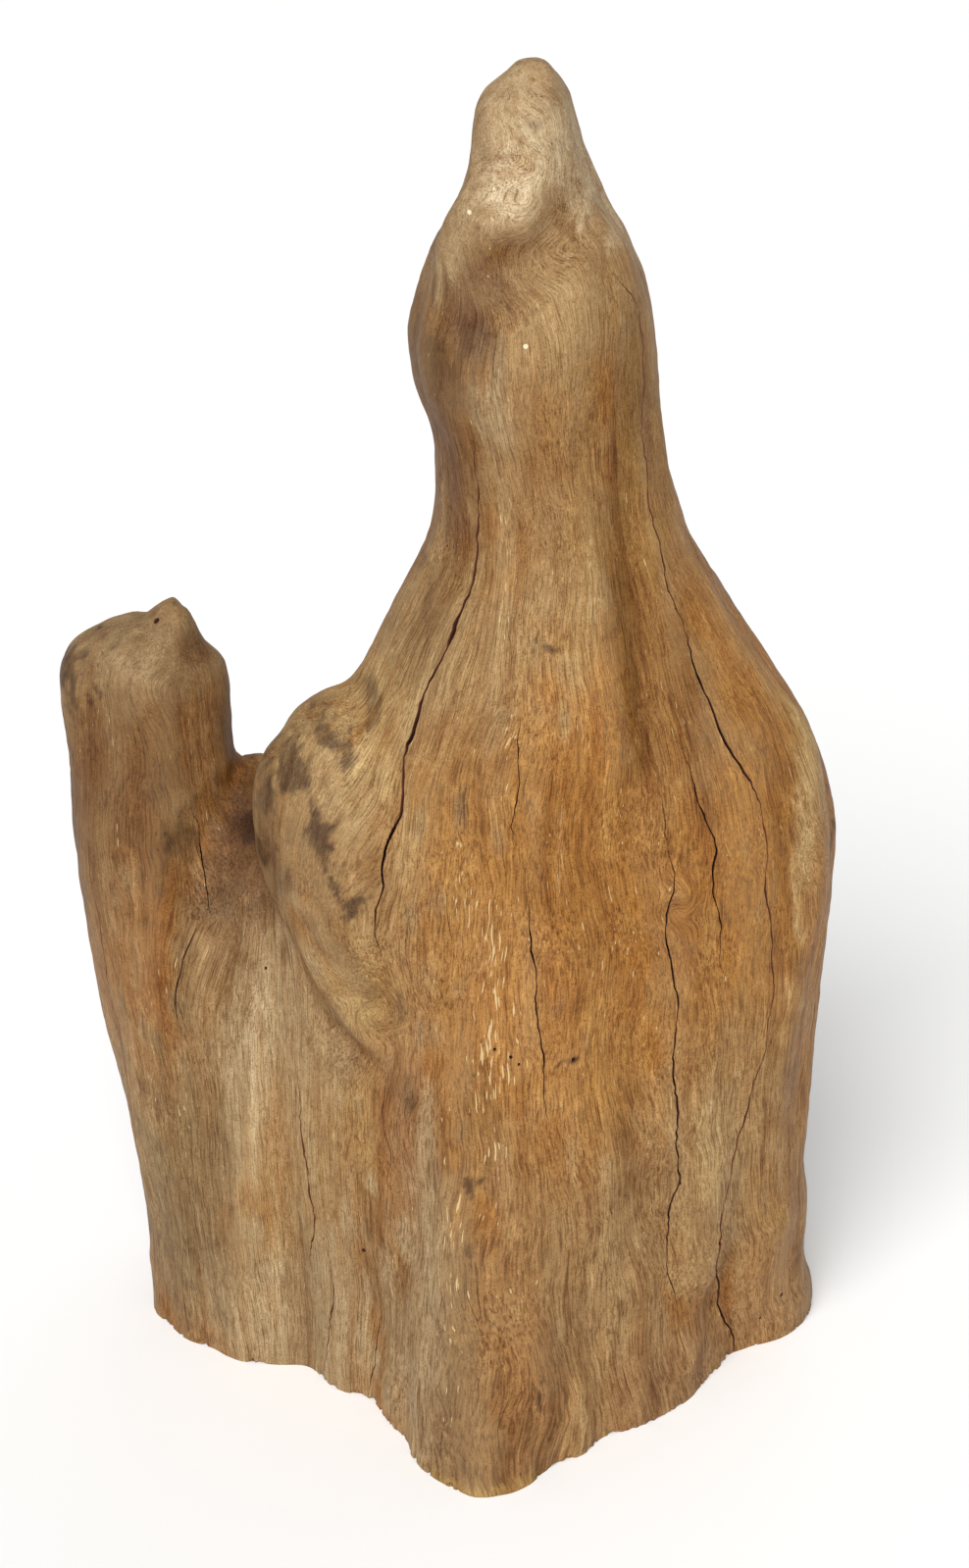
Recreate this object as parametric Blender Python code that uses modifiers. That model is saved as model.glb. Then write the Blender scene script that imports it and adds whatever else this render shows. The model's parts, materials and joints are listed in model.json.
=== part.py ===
"""Cypress knee: one solid piece of wood, standing on its sawn base.

The wood grew as a bundle of upright limbs that fused: a tall trunk with a knobbed head,
a rib up its right side, a swollen shoulder, a lower side knee and ribs at the back.
Each limb is a loft through a few level sections, given by its four sides.  The limbs are
united and their joins rounded, folds and flutes are worked into the skin by a formula,
the base is sawn flat, and the drying cracks are cut last.

The tables are in millimetres, the model in metres.  +Z is up and -Y is the front.
"""

import math

import bmesh
import bpy
import numpy as np
from mathutils import Vector
from mathutils.bvhtree import BVHTree

MM = 0.001

# The saw cut stands at height 0, and the limbs are modelled a little past it.
SAW_BLOCK_HALF_WIDTH = 400.0
SAW_BLOCK_DEPTH = 80.0

# How finely the wood is built
RING_SPACING = 6.0
RING_SIDES = 56
DOME_ANGLES = (15, 30, 45, 60, 72, 82)
VOXEL = 4.0
JOIN_ROUNDING_STEPS = 14
TRIANGLES_OF_WOOD = 8000

WOOD_COLOR = (0.47, 0.30, 0.16, 1.0)
WOOD_ROUGHNESS = 0.55

# Each limb's level sections, from below the saw cut to its tip: height, left, right, front, back
LIMBS = {
    "trunk": [
        (-40, -94, 142, -111, 150),
        (0, -90, 138, -108, 146),
        (100, -88, 125, -105, 132),
        (200, -88, 115, -104, 118),
        (300, -88, 112, -95, 100),
        (357, -82, 108, -88, 86),
        (379, -72, 104, -84, 80),
        (401, -59, 98, -79, 74),
        (422, -49, 92, -74, 68),
        (443, -38, 87, -68, 62),
        (464, -27, 82, -62, 56),
        (485, -23, 78, -58, 52),
        (516, -25, 76, -58, 52),
        (546, -35, 77, -62, 54),
        (566, -38, 77, -61, 55),
        (595, -33, 75, -56, 50),
        (614, -26, 70, -48, 44),
        (633, -14, 58, -40, 38),
        (652, -8, 47, -35, 33),
        (668, -8, 43, -30, 28),
        (678, -4, 41, -26, 24),
        (692, 8, 32, -10, 10),
    ],
    "right rib": [
        (-40, 84, 186, -16, 96),
        (0, 85, 184, -19, 95),
        (16, 85, 183, -23, 95),
        (29, 84, 178, -28, 95),
        (55, 82, 176, -36, 96),
        (80, 80, 177, -43, 97),
        (107, 76, 173, -50, 97),
        (157, 71, 173, -60, 97),
        (200, 66, 176, -67, 95),
        (265, 60, 180, -73, 88),
        (300, 57, 179, -73, 82),
        (346, 52, 171, -68, 72),
        (379, 49, 157, -62, 63),
        (401, 47, 142, -56, 56),
        (443, 45, 115, -47, 48),
        (485, 44, 93, -42, 40),
        (516, 43, 87, -40, 36),
        (566, 37, 83, -36, 34),
        (600, 29, 76, -29, 28),
        (625, 22, 56, -22, 20),
        (650, 30, 44, -8, 8),
    ],
    "front rib": [
        (-40, -44, 48, -156, 0),
        (0, -43, 48, -151, 0),
        (60, -42, 48, -138, 0),
        (120, -40, 50, -123, 0),
        (180, -36, 54, -110, 0),
        (240, -30, 52, -97, 0),
        (300, -14, 40, -80, 0),
    ],
    "chest fill": [
        (20, 50, 110, -50, 40),
        (80, 30, 140, -72, 60),
        (150, 24, 150, -80, 70),
        (220, 22, 152, -83, 74),
        (290, 22, 146, -82, 68),
        (340, 30, 132, -74, 58),
        (390, 54, 108, -56, 44),
    ],
    "front flank": [
        (-40, -68, 89, -131, 88),
        (0, -68, 89, -128, 88),
        (60, -64, 87, -119, 84),
        (120, -57, 84, -110, 80),
        (180, -46, 76, -98, 70),
        (230, -24, 54, -82, 56),
    ],
    "shoulder": [
        (150, -52, -32, -56, -40),
        (180, -60, -26, -66, -24),
        (205, -72, -22, -74, -8),
        (235, -88, -20, -80, 12),
        (265, -102, -20, -81, 25),
        (291, -111, -20, -81, 31),
        (313, -116, -20, -79, 33),
        (334, -116, -22, -76, 33),
        (350, -113, -26, -70, 31),
        (362, -102, -30, -62, 26),
        (386, -82, -46, -46, 12),
    ],
    "left root": [
        (-40, -104, -20, -64, 78),
        (0, -103, -20, -62, 76),
        (100, -107, -18, -64, 70),
        (200, -110, -22, -60, 60),
        (255, -112, -34, -52, 48),
        (290, -107, -46, -44, 36),
        (320, -96, -60, -26, 20),
    ],
    "web": [
        (-40, -170, -56, -37, 100),
        (0, -168, -56, -36, 98),
        (100, -178, -58, -36, 88),
        (200, -182, -56, -34, 78),
        (245, -178, -58, -28, 72),
        (288, -166, -68, -12, 66),
        (328, -150, -96, 22, 56),
    ],
    "back web": [
        (-40, -158, -48, 40, 126),
        (0, -157, -49, 40, 120),
        (80, -157, -52, 40, 106),
        (160, -160, -57, 38, 90),
        (225, -160, -62, 34, 76),
        (275, -150, -78, 38, 62),
    ],
    "side knee": [
        (-40, -189, -72, -23, 132),
        (0, -188, -74, -23, 129),
        (55, -189, -88, -24, 116),
        (108, -193, -104, -25, 104),
        (158, -199, -118, -23, 96),
        (207, -206, -124, -20, 91),
        (256, -213, -127, -16, 86),
        (302, -216, -130, -11, 82),
        (337, -216, -130, -8, 79),
        (359, -218, -130, -6, 77),
        (380, -219, -130, -3, 74),
        (405, -197, -154, 20, 50),
    ],
    "side knee tip": [
        (370, -180, -137, 10, 58),
        (396, -175, -141, 14, 54),
        (419, -165, -151, 28, 40),
    ],
    "back left rib": [
        (-40, -70, 24, 80, 168),
        (0, -68, 24, 76, 160),
        (120, -62, 24, 66, 146),
        (220, -50, 24, 54, 128),
        (320, -34, 26, 40, 104),
        (430, -4, 22, 24, 62),
    ],
    "back right rib": [
        (-40, 52, 150, 60, 152),
        (0, 54, 148, 60, 146),
        (110, 58, 136, 52, 134),
        (190, 58, 128, 44, 127),
        (240, 60, 122, 40, 118),
        (290, 74, 104, 56, 84),
    ],
    "back bud": [
        (-40, 2, 62, 100, 168),
        (0, 4, 60, 98, 164),
        (60, 8, 58, 92, 160),
        (110, 12, 54, 84, 152),
        (150, 24, 42, 100, 130),
    ],
}

# Knobs on the limbs: centre, radii, tilt in the frontal plane in degrees
KNOBS = {
    "head knob": ((8, -23, 621), (39, 24, 24), 42),
    "crown": ((20, -2, 685), (15, 15, 16), 0),
    "crown shoulder": ((6, -4, 672), (13, 16, 14), 0),
}

# Folds and cracks are drawn on the wood as seen square on from one side, given as an azimuth:
# 0 from the front, 90 from the right, 180 from the back, 270 from the left.
# Their routes are (across, height), with across counted to the right as seen from that side.
FRONT, RIGHT, BACK, LEFT = 0, 90, 180, 270

# Folds: seen from, depth, half-width, route.  A ridge has a negative depth.
FOLDS = {
    "valley beside the right rib": (FRONT, 2.4, 9.0, [
        (62, 580), (68, 540), (70, 470), (75, 400), (84, 328), (92, 270)]),
    "keel of the chest": (FRONT, -3.0, 9.0, [(46, 530), (53, 466), (60, 414), (66, 350)]),
    "keel of the neck": (FRONT, -1.6, 9.0, [(8, 560), (11, 505), (12, 450), (10, 420)]),
    "fold under the shoulder": (FRONT, 2.4, 5.0, [
        (-102, 312), (-96, 310), (-88, 305), (-77, 292), (-66, 277), (-55, 262), (-50, 244), (-48, 215),
        (-50, 170)]),
    "fold beside the side knee": (FRONT, 1.6, 7.0, [(-134, 310), (-134, 264), (-142, 215), (-146, 150)]),
    "hollow under the head knob": (FRONT, 1.6, 8.0, [(-22, 594), (0, 588), (24, 598), (38, 622)]),
    "skirt ridge": (FRONT, -3.0, 10.0, [(-112, 250), (-116, 190), (-120, 120), (-122, 50)]),
    "valley of the right side": (RIGHT, 4.0, 10.0, [(44, 470), (50, 360), (58, 240), (50, 120), (46, 0)]),
    "valley of the nape": (BACK, 4.0, 9.0, [(-30, 620), (-34, 520), (-44, 420), (-50, 300), (-44, 160)]),
    "keel of the back": (BACK, -3.0, 9.0, [(-8, 560), (-4, 470), (6, 380)]),
    "cleft of the left side": (LEFT, 4.0, 8.0, [(-64, 380), (-60, 280), (-70, 160), (-72, 20)]),
}

# Shallow flutes that run with the grain: waves round the wood, much longer up it than across it
FLUTE_SEED = 7
FLUTE_WAVES = 26
FLUTE_HEIGHT = 0.3
FLUTE_ACROSS = (26.0, 80.0)
FLUTE_UP = (160.0, 420.0)

# Drying cracks: seen from, width, depth, route
CRACKS = {
    "left check": (FRONT, 2.6, 22.0, [
        (-4, 520), (-3, 480), (-8, 452), (-18, 428), (-32, 394), (-40, 362), (-43, 340), (-51, 316),
        (-50, 306), (-54, 288), (-51, 268)]),
    "centre check": (FRONT, 1.5, 14.0, [(19, 320), (23, 288), (25, 262), (29, 226), (31, 188)]),
    "right long check": (FRONT, 1.8, 18.0, [
        (75, 560), (76, 520), (79, 492), (85, 465), (98, 427), (110, 393), (130, 358), (138, 330),
        (140, 300), (145, 262), (144, 222), (136, 178), (130, 140), (128, 90), (130, 45), (137, 4)]),
    "valley check": (FRONT, 1.8, 14.0, [
        (86, 360), (89, 332), (94, 312), (89, 290), (96, 248), (94, 220), (97, 190), (99, 156),
        (95, 120), (97, 84), (104, 44)]),
    "skirt check": (FRONT, 1.6, 12.0, [(-97, 196), (-94, 160), (-92, 128), (-89, 106), (-93, 70)]),
    "side knee check": (FRONT, 1.4, 10.0, [
        (-149, 314), (-147, 290), (-149, 264), (-158, 238), (-162, 218), (-159, 196)]),
    "right side check": (RIGHT, 2.0, 18.0, [
        (6, 400), (10, 340), (20, 290), (18, 230), (26, 170), (24, 110), (30, 60)]),
    "back check": (BACK, 2.4, 22.0, [
        (-22, 540), (-24, 480), (-20, 430), (-28, 370), (-26, 320), (-34, 260), (-30, 200), (-38, 150)]),
    "back foot check": (BACK, 2.0, 16.0, [(50, 190), (46, 140), (52, 90), (48, 40), (52, -4)]),
    "left side check": (LEFT, 1.8, 14.0, [(-38, 330), (-34, 270), (-40, 210), (-36, 150), (-44, 90)]),
}
CRACK_SPACING = 9.0
CRACK_LIFT = 2.0
CAST_FROM = 500.0


def new_object(name, mesh, collection):
    """An object for a mesh, linked to a collection."""
    made = bpy.data.objects.new(name, mesh)
    collection.objects.link(made)
    return made


def object_from(bm, name, collection):
    """An object for what was built in a bmesh, which is freed."""
    mesh = bpy.data.meshes.new(name)
    bm.to_mesh(mesh)
    bm.free()
    return new_object(name, mesh, collection)


def new_collection(name, hidden=False):
    """A collection in the scene; a hidden one holds limbs and cutters, which aren't parts."""
    made = bpy.data.collections.new(name)
    bpy.context.scene.collection.children.link(made)
    made.hide_render = hidden
    return made


def evaluated_copy(source, name, collection):
    """The object with its modifiers applied, as a new object."""
    bpy.context.view_layer.update()
    graph = bpy.context.evaluated_depsgraph_get()
    mesh = bpy.data.meshes.new_from_object(source.evaluated_get(graph))
    return new_object(name, mesh, collection)


def mark_as_cutter(cutter):
    cutter.hide_render = True
    cutter.display_type = "WIRE"


def rows_between(heights, rows, at):
    """The rows read at other heights, along a monotone cubic, so that nothing overshoots."""
    steps = np.diff(heights)[:, None]
    slopes = np.diff(rows, axis=0) / steps
    same_way = slopes[1:] * slopes[:-1] > 0
    total = np.where(same_way, slopes[1:] + slopes[:-1], 1)
    tangents = np.zeros_like(rows)
    tangents[1:-1] = np.where(same_way, 2 * slopes[1:] * slopes[:-1] / total, 0)
    tangents[0], tangents[-1] = slopes[0], slopes[-1]
    k = np.clip(np.searchsorted(heights, at) - 1, 0, len(heights) - 2)
    t = ((at - heights[k]) / (heights[k + 1] - heights[k]))[:, None]
    return (
        (1 + 2 * t) * (1 - t) ** 2 * rows[k]
        + t * (1 - t) ** 2 * steps[k] * tangents[k]
        + t * t * (3 - 2 * t) * rows[k + 1]
        + t * t * (t - 1) * steps[k] * tangents[k + 1]
    )


def skin_between(bm, rings):
    """Faces from each ring of vertices to the next, and a cap on the first and the last."""
    sides = len(rings[0])
    for lower, upper in zip(rings, rings[1:]):
        for i in range(sides):
            j = (i + 1) % sides
            bm.faces.new((lower[i], lower[j], upper[j], upper[i]))
    bm.faces.new(reversed(rings[0]))
    bm.faces.new(rings[-1])
    bmesh.ops.recalc_face_normals(bm, faces=bm.faces)


def limb(name, sections, collection):
    """A closed loft through level oval sections, with a dome from the last but one to the tip."""
    table = np.array(sections, float)
    heights, sides = table[:, 0], table[:, 1:]
    wall_top, tip = heights[-2], heights[-1]
    wall_rings = max(2, round((wall_top - heights[0]) / RING_SPACING))
    wall = np.linspace(heights[0], wall_top, wall_rings)
    dome = np.radians(DOME_ANGLES)
    ring_heights = np.concatenate([wall, wall_top + (tip - wall_top) * np.sin(dome)])
    shrink = np.concatenate([np.ones(wall_rings), np.cos(dome)])
    left, right, front, back = rows_between(heights, sides, ring_heights).T
    wall_sides = rows_between(heights, sides, np.minimum(ring_heights, wall_top)).T
    half_widths = (wall_sides[1] - wall_sides[0]) / 2 * shrink
    half_depths = (wall_sides[3] - wall_sides[2]) / 2 * shrink

    turns = np.linspace(0, 2 * math.pi, RING_SIDES, endpoint=False)
    x = (left + right)[:, None] / 2 + half_widths[:, None] * np.cos(turns)
    y = (front + back)[:, None] / 2 + half_depths[:, None] * np.sin(turns)
    z = np.broadcast_to(ring_heights[:, None], x.shape)
    bm = bmesh.new()
    rings = [[bm.verts.new(point) for point in ring] for ring in np.stack([x, y, z], axis=2) * MM]
    skin_between(bm, rings)
    return object_from(bm, name, collection)


def knob(name, centre, radii, tilt, collection):
    """A ball drawn out to three radii and tilted in the frontal plane."""
    bm = bmesh.new()
    bmesh.ops.create_uvsphere(bm, u_segments=32, v_segments=20, radius=1)
    ball = object_from(bm, name, collection)
    ball.location = Vector(centre) * MM
    ball.scale = Vector(radii) * MM
    ball.rotation_euler.y = -math.radians(tilt)


def fused_limbs():
    """The trunk, with the other limbs and the knobs united to it and the joins rounded."""
    trunk_only = new_collection("trunk", hidden=True)
    others = new_collection("limbs and knobs", hidden=True)
    for name, sections in LIMBS.items():
        if name != "trunk":
            limb(name, sections, others)
    for name, (centre, radii, tilt) in KNOBS.items():
        knob(name, centre, radii, tilt, others)
    trunk = limb("trunk", LIMBS["trunk"], trunk_only)
    join = trunk.modifiers.new("join the limbs", "BOOLEAN")
    join.operation = "UNION"
    join.operand_type = "COLLECTION"
    join.collection = others
    join.solver = "MANIFOLD"
    skin = trunk.modifiers.new("one skin", "REMESH")
    skin.mode = "VOXEL"
    skin.voxel_size = VOXEL * MM
    rounding = trunk.modifiers.new("round the joins", "SMOOTH")
    rounding.factor = 0.5
    rounding.iterations = JOIN_ROUNDING_STEPS
    return trunk


def side_axes(seen_from):
    """The ways to the right and towards the eye, for someone looking at the wood from that azimuth."""
    turn = math.radians(seen_from)
    across = np.array([math.cos(turn), math.sin(turn), 0.0])
    outward = np.array([math.sin(turn), -math.cos(turn), 0.0])
    return across, outward


def distance_to_route(points, route):
    """Each point's distance to a bent line in the plane, and how far along it that is, from 0 to 1."""
    lengths = np.linalg.norm(np.diff(route, axis=0), axis=1)
    walked = np.concatenate([[0], np.cumsum(lengths)])
    nearest = np.full(len(points), np.inf)
    along = np.zeros(len(points))
    for start, end, length, before in zip(route, route[1:], lengths, walked):
        t = np.clip((points - start) @ (end - start) / length**2, 0, 1)
        distance = np.linalg.norm(points - start - t[:, None] * (end - start), axis=1)
        closer = distance < nearest
        nearest = np.where(closer, distance, nearest)
        along = np.where(closer, (before + t * length) / walked[-1], along)
    return nearest, along


def fold_height(points, normals):
    """How far the folds and ridges lift each point: a bell curve across each route, fading at its ends."""
    lift = np.zeros(len(points))
    for seen_from, depth, half_width, route in FOLDS.values():
        across, outward = side_axes(seen_from)
        seen = np.column_stack([points @ across, points[:, 2]])
        away, along = distance_to_route(seen, np.array(route, float))
        facing = np.clip(2.5 * normals @ outward, 0, 1)
        ends = np.clip(6 * np.minimum(along, 1 - along) + 0.2, 0, 1)
        lift -= depth * np.exp(-0.5 * (away / half_width) ** 2) * facing * ends
    return lift


def flute_height(points):
    """How far the flutes lift each point: the sum of long upright waves at seeded angles."""
    rng = np.random.default_rng(FLUTE_SEED)
    lift = np.zeros(len(points))
    for _ in range(FLUTE_WAVES):
        turn, phase = rng.uniform(0, 2 * math.pi, 2)
        wave = np.array([
            math.cos(turn) / rng.uniform(*FLUTE_ACROSS),
            math.sin(turn) / rng.uniform(*FLUTE_ACROSS),
            1 / rng.uniform(*FLUTE_UP),
        ])
        lift += FLUTE_HEIGHT * np.sin(2 * math.pi * points @ wave + phase)
    return lift


def work_the_skin(wood):
    """Moves the skin out and in along its normals by the folds and the flutes."""
    mesh = wood.data
    points = np.empty(len(mesh.vertices) * 3)
    normals = np.empty(len(mesh.vertices) * 3)
    mesh.vertices.foreach_get("co", points)
    mesh.vertex_normals.foreach_get("vector", normals)
    points, normals = points.reshape(-1, 3) / MM, normals.reshape(-1, 3)
    lift = fold_height(points, normals) + flute_height(points)
    mesh.vertices.foreach_set("co", ((points + normals * lift[:, None]) * MM).ravel())
    mesh.update()


def coarsen(wood):
    """Leaves the triangles that the shape needs, more of them where it bends more."""
    wood.data.calc_loop_triangles()
    fewer = wood.modifiers.new("fewer triangles", "DECIMATE")
    fewer.ratio = TRIANGLES_OF_WOOD / len(wood.data.loop_triangles)
    fewer.use_collapse_triangulate = True


def saw_base(wood, cutters):
    """Cuts away what lies below the saw cut, at height 0."""
    bm = bmesh.new()
    bmesh.ops.create_cube(bm, size=1)
    block = object_from(bm, "saw cut", cutters)
    block.dimensions = Vector((2 * SAW_BLOCK_HALF_WIDTH, 2 * SAW_BLOCK_HALF_WIDTH, SAW_BLOCK_DEPTH)) * MM
    block.location.z = -SAW_BLOCK_DEPTH / 2 * MM
    mark_as_cutter(block)
    cut = wood.modifiers.new("saw cut", "BOOLEAN")
    cut.operation = "DIFFERENCE"
    cut.object = block


def even_points(route):
    """Points about one crack spacing apart along the route, ends included."""
    lengths = np.linalg.norm(np.diff(route, axis=0), axis=1)
    walked = np.concatenate([[0], np.cumsum(lengths)])
    at = np.linspace(0, walked[-1], max(4, round(walked[-1] / CRACK_SPACING)))
    return np.column_stack([np.interp(at, walked, route[:, 0]), np.interp(at, walked, route[:, 1])])


def crack_wedge(name, surface, crack, collection):
    """A wedge swept along a crack's route: open at the skin, sharp inside, closing at both ends."""
    seen_from, width, depth, route = crack
    across, outward = side_axes(seen_from)
    lines = even_points(np.array(route, float))
    starts = lines[:, :1] * across + lines[:, 1:] * np.array([0, 0, 1]) + CAST_FROM * outward
    hits = [surface.ray_cast(Vector(start * MM), Vector(-outward)) for start in starts]
    on_wood = [hit for hit in hits if hit[0] is not None]
    places = np.array([hit[0] for hit in on_wood]) / MM
    normals = np.array([hit[1] for hit in on_wood])
    normals[1:-1] = normals[:-2] + 2 * normals[1:-1] + normals[2:]
    normals /= np.linalg.norm(normals, axis=1)[:, None]
    sideways = np.cross(np.gradient(places, axis=0), normals)
    sideways /= np.linalg.norm(sideways, axis=1)[:, None]

    along = np.linspace(0, 1, len(places))
    opening = (0.06 + 0.94 * np.sqrt(np.sin(math.pi * along).clip(0)))[:, None]
    reach = depth * opening
    mouth = places + normals * CRACK_LIFT
    half_mouth = sideways * width / 2 * opening * (reach + CRACK_LIFT) / reach
    inner_edge = places - normals * reach
    bm = bmesh.new()
    corners = zip(mouth - half_mouth, mouth + half_mouth, inner_edge)
    rings = [[bm.verts.new(point * MM) for point in ring] for ring in corners]
    skin_between(bm, rings)
    mark_as_cutter(object_from(bm, name, collection))


def split_cracks(wood, surface):
    """Cuts the drying cracks into the wood."""
    wedges = new_collection("crack wedges", hidden=True)
    for name, crack in CRACKS.items():
        crack_wedge(name, surface, crack, wedges)
    split = wood.modifiers.new("drying cracks", "BOOLEAN")
    split.operation = "DIFFERENCE"
    split.operand_type = "COLLECTION"
    split.collection = wedges
    split.solver = "MANIFOLD"


def stand_on_origin(wood):
    """Puts the origin under the middle of the wood's box, on the saw cut."""
    corners = np.array([corner[:] for corner in wood.bound_box])
    middle = (corners.min(0) + corners.max(0)) / 2
    wood.location = (-middle[0], -middle[1], 0)


def wood_material():
    made = bpy.data.materials.new("weathered cypress")
    made.use_nodes = True
    shader = made.node_tree.nodes["Principled BSDF"]
    shader.inputs["Base Color"].default_value = WOOD_COLOR
    shader.inputs["Roughness"].default_value = WOOD_ROUGHNESS
    return made


def main():
    for old in list(bpy.data.objects):
        bpy.data.objects.remove(old)
    parts = new_collection("cypress knee")
    cutters = new_collection("cutters", hidden=True)
    skin = evaluated_copy(fused_limbs(), "skin", cutters)
    mark_as_cutter(skin)
    work_the_skin(skin)
    coarsen(skin)
    saw_base(skin, cutters)
    sawn = evaluated_copy(skin, "sawn wood", cutters)
    mark_as_cutter(sawn)
    bpy.context.view_layer.update()
    surface = BVHTree.FromObject(sawn, bpy.context.evaluated_depsgraph_get())
    split_cracks(sawn, surface)
    wood = evaluated_copy(sawn, "cypress_knee", parts)
    stand_on_origin(wood)
    wood.data.materials.clear()
    wood.data.materials.append(wood_material())


if __name__ == "__main__":
    main()
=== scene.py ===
import json
import math
import bmesh
import bpy
import numpy as np
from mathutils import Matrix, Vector
from mathutils.bvhtree import BVHTree

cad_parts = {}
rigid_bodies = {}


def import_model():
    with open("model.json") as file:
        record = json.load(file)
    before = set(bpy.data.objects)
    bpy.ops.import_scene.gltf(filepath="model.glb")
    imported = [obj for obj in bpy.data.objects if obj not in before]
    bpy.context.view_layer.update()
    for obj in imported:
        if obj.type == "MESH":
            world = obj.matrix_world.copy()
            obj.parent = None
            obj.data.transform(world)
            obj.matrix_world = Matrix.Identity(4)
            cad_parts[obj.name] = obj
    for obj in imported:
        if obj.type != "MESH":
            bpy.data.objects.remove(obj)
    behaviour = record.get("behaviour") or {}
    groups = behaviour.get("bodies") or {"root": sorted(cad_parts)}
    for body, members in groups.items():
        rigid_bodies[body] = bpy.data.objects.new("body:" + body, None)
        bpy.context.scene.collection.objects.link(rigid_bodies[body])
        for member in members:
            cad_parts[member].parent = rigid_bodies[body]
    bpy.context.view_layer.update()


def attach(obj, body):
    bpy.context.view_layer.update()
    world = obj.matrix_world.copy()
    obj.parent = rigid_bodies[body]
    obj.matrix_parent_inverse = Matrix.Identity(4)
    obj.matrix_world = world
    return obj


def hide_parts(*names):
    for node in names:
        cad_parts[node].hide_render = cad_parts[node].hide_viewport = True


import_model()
print("cypress knee: the frame is loaded")

# All tables are in millimetres, as measured on the wood before it was centred over the origin.
mm = 0.001
tableToRow = np.array([16.5, -5.95, 0.0])

# How finely the wood is built
build = {
    "ringSpacing": 6.0, "ringSides": 64, "domeAngles": (15, 30, 45, 60, 72, 82),
    "knobRows": 22, "knobSides": 36, "knobEnd": 84,  # a knob's rows stop at this latitude
    "voxel": 3.05, "rounding": 0.5, "roundingSteps": 24,
    "hollowSteps": 45,  # how far round a point a hollow is looked for
    "sharpAngle": 38,
}

# The block that saws the base flat, from height 0 down
sawBlock = {"halfWidth": 400.0, "depth": 80.0}

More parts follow.
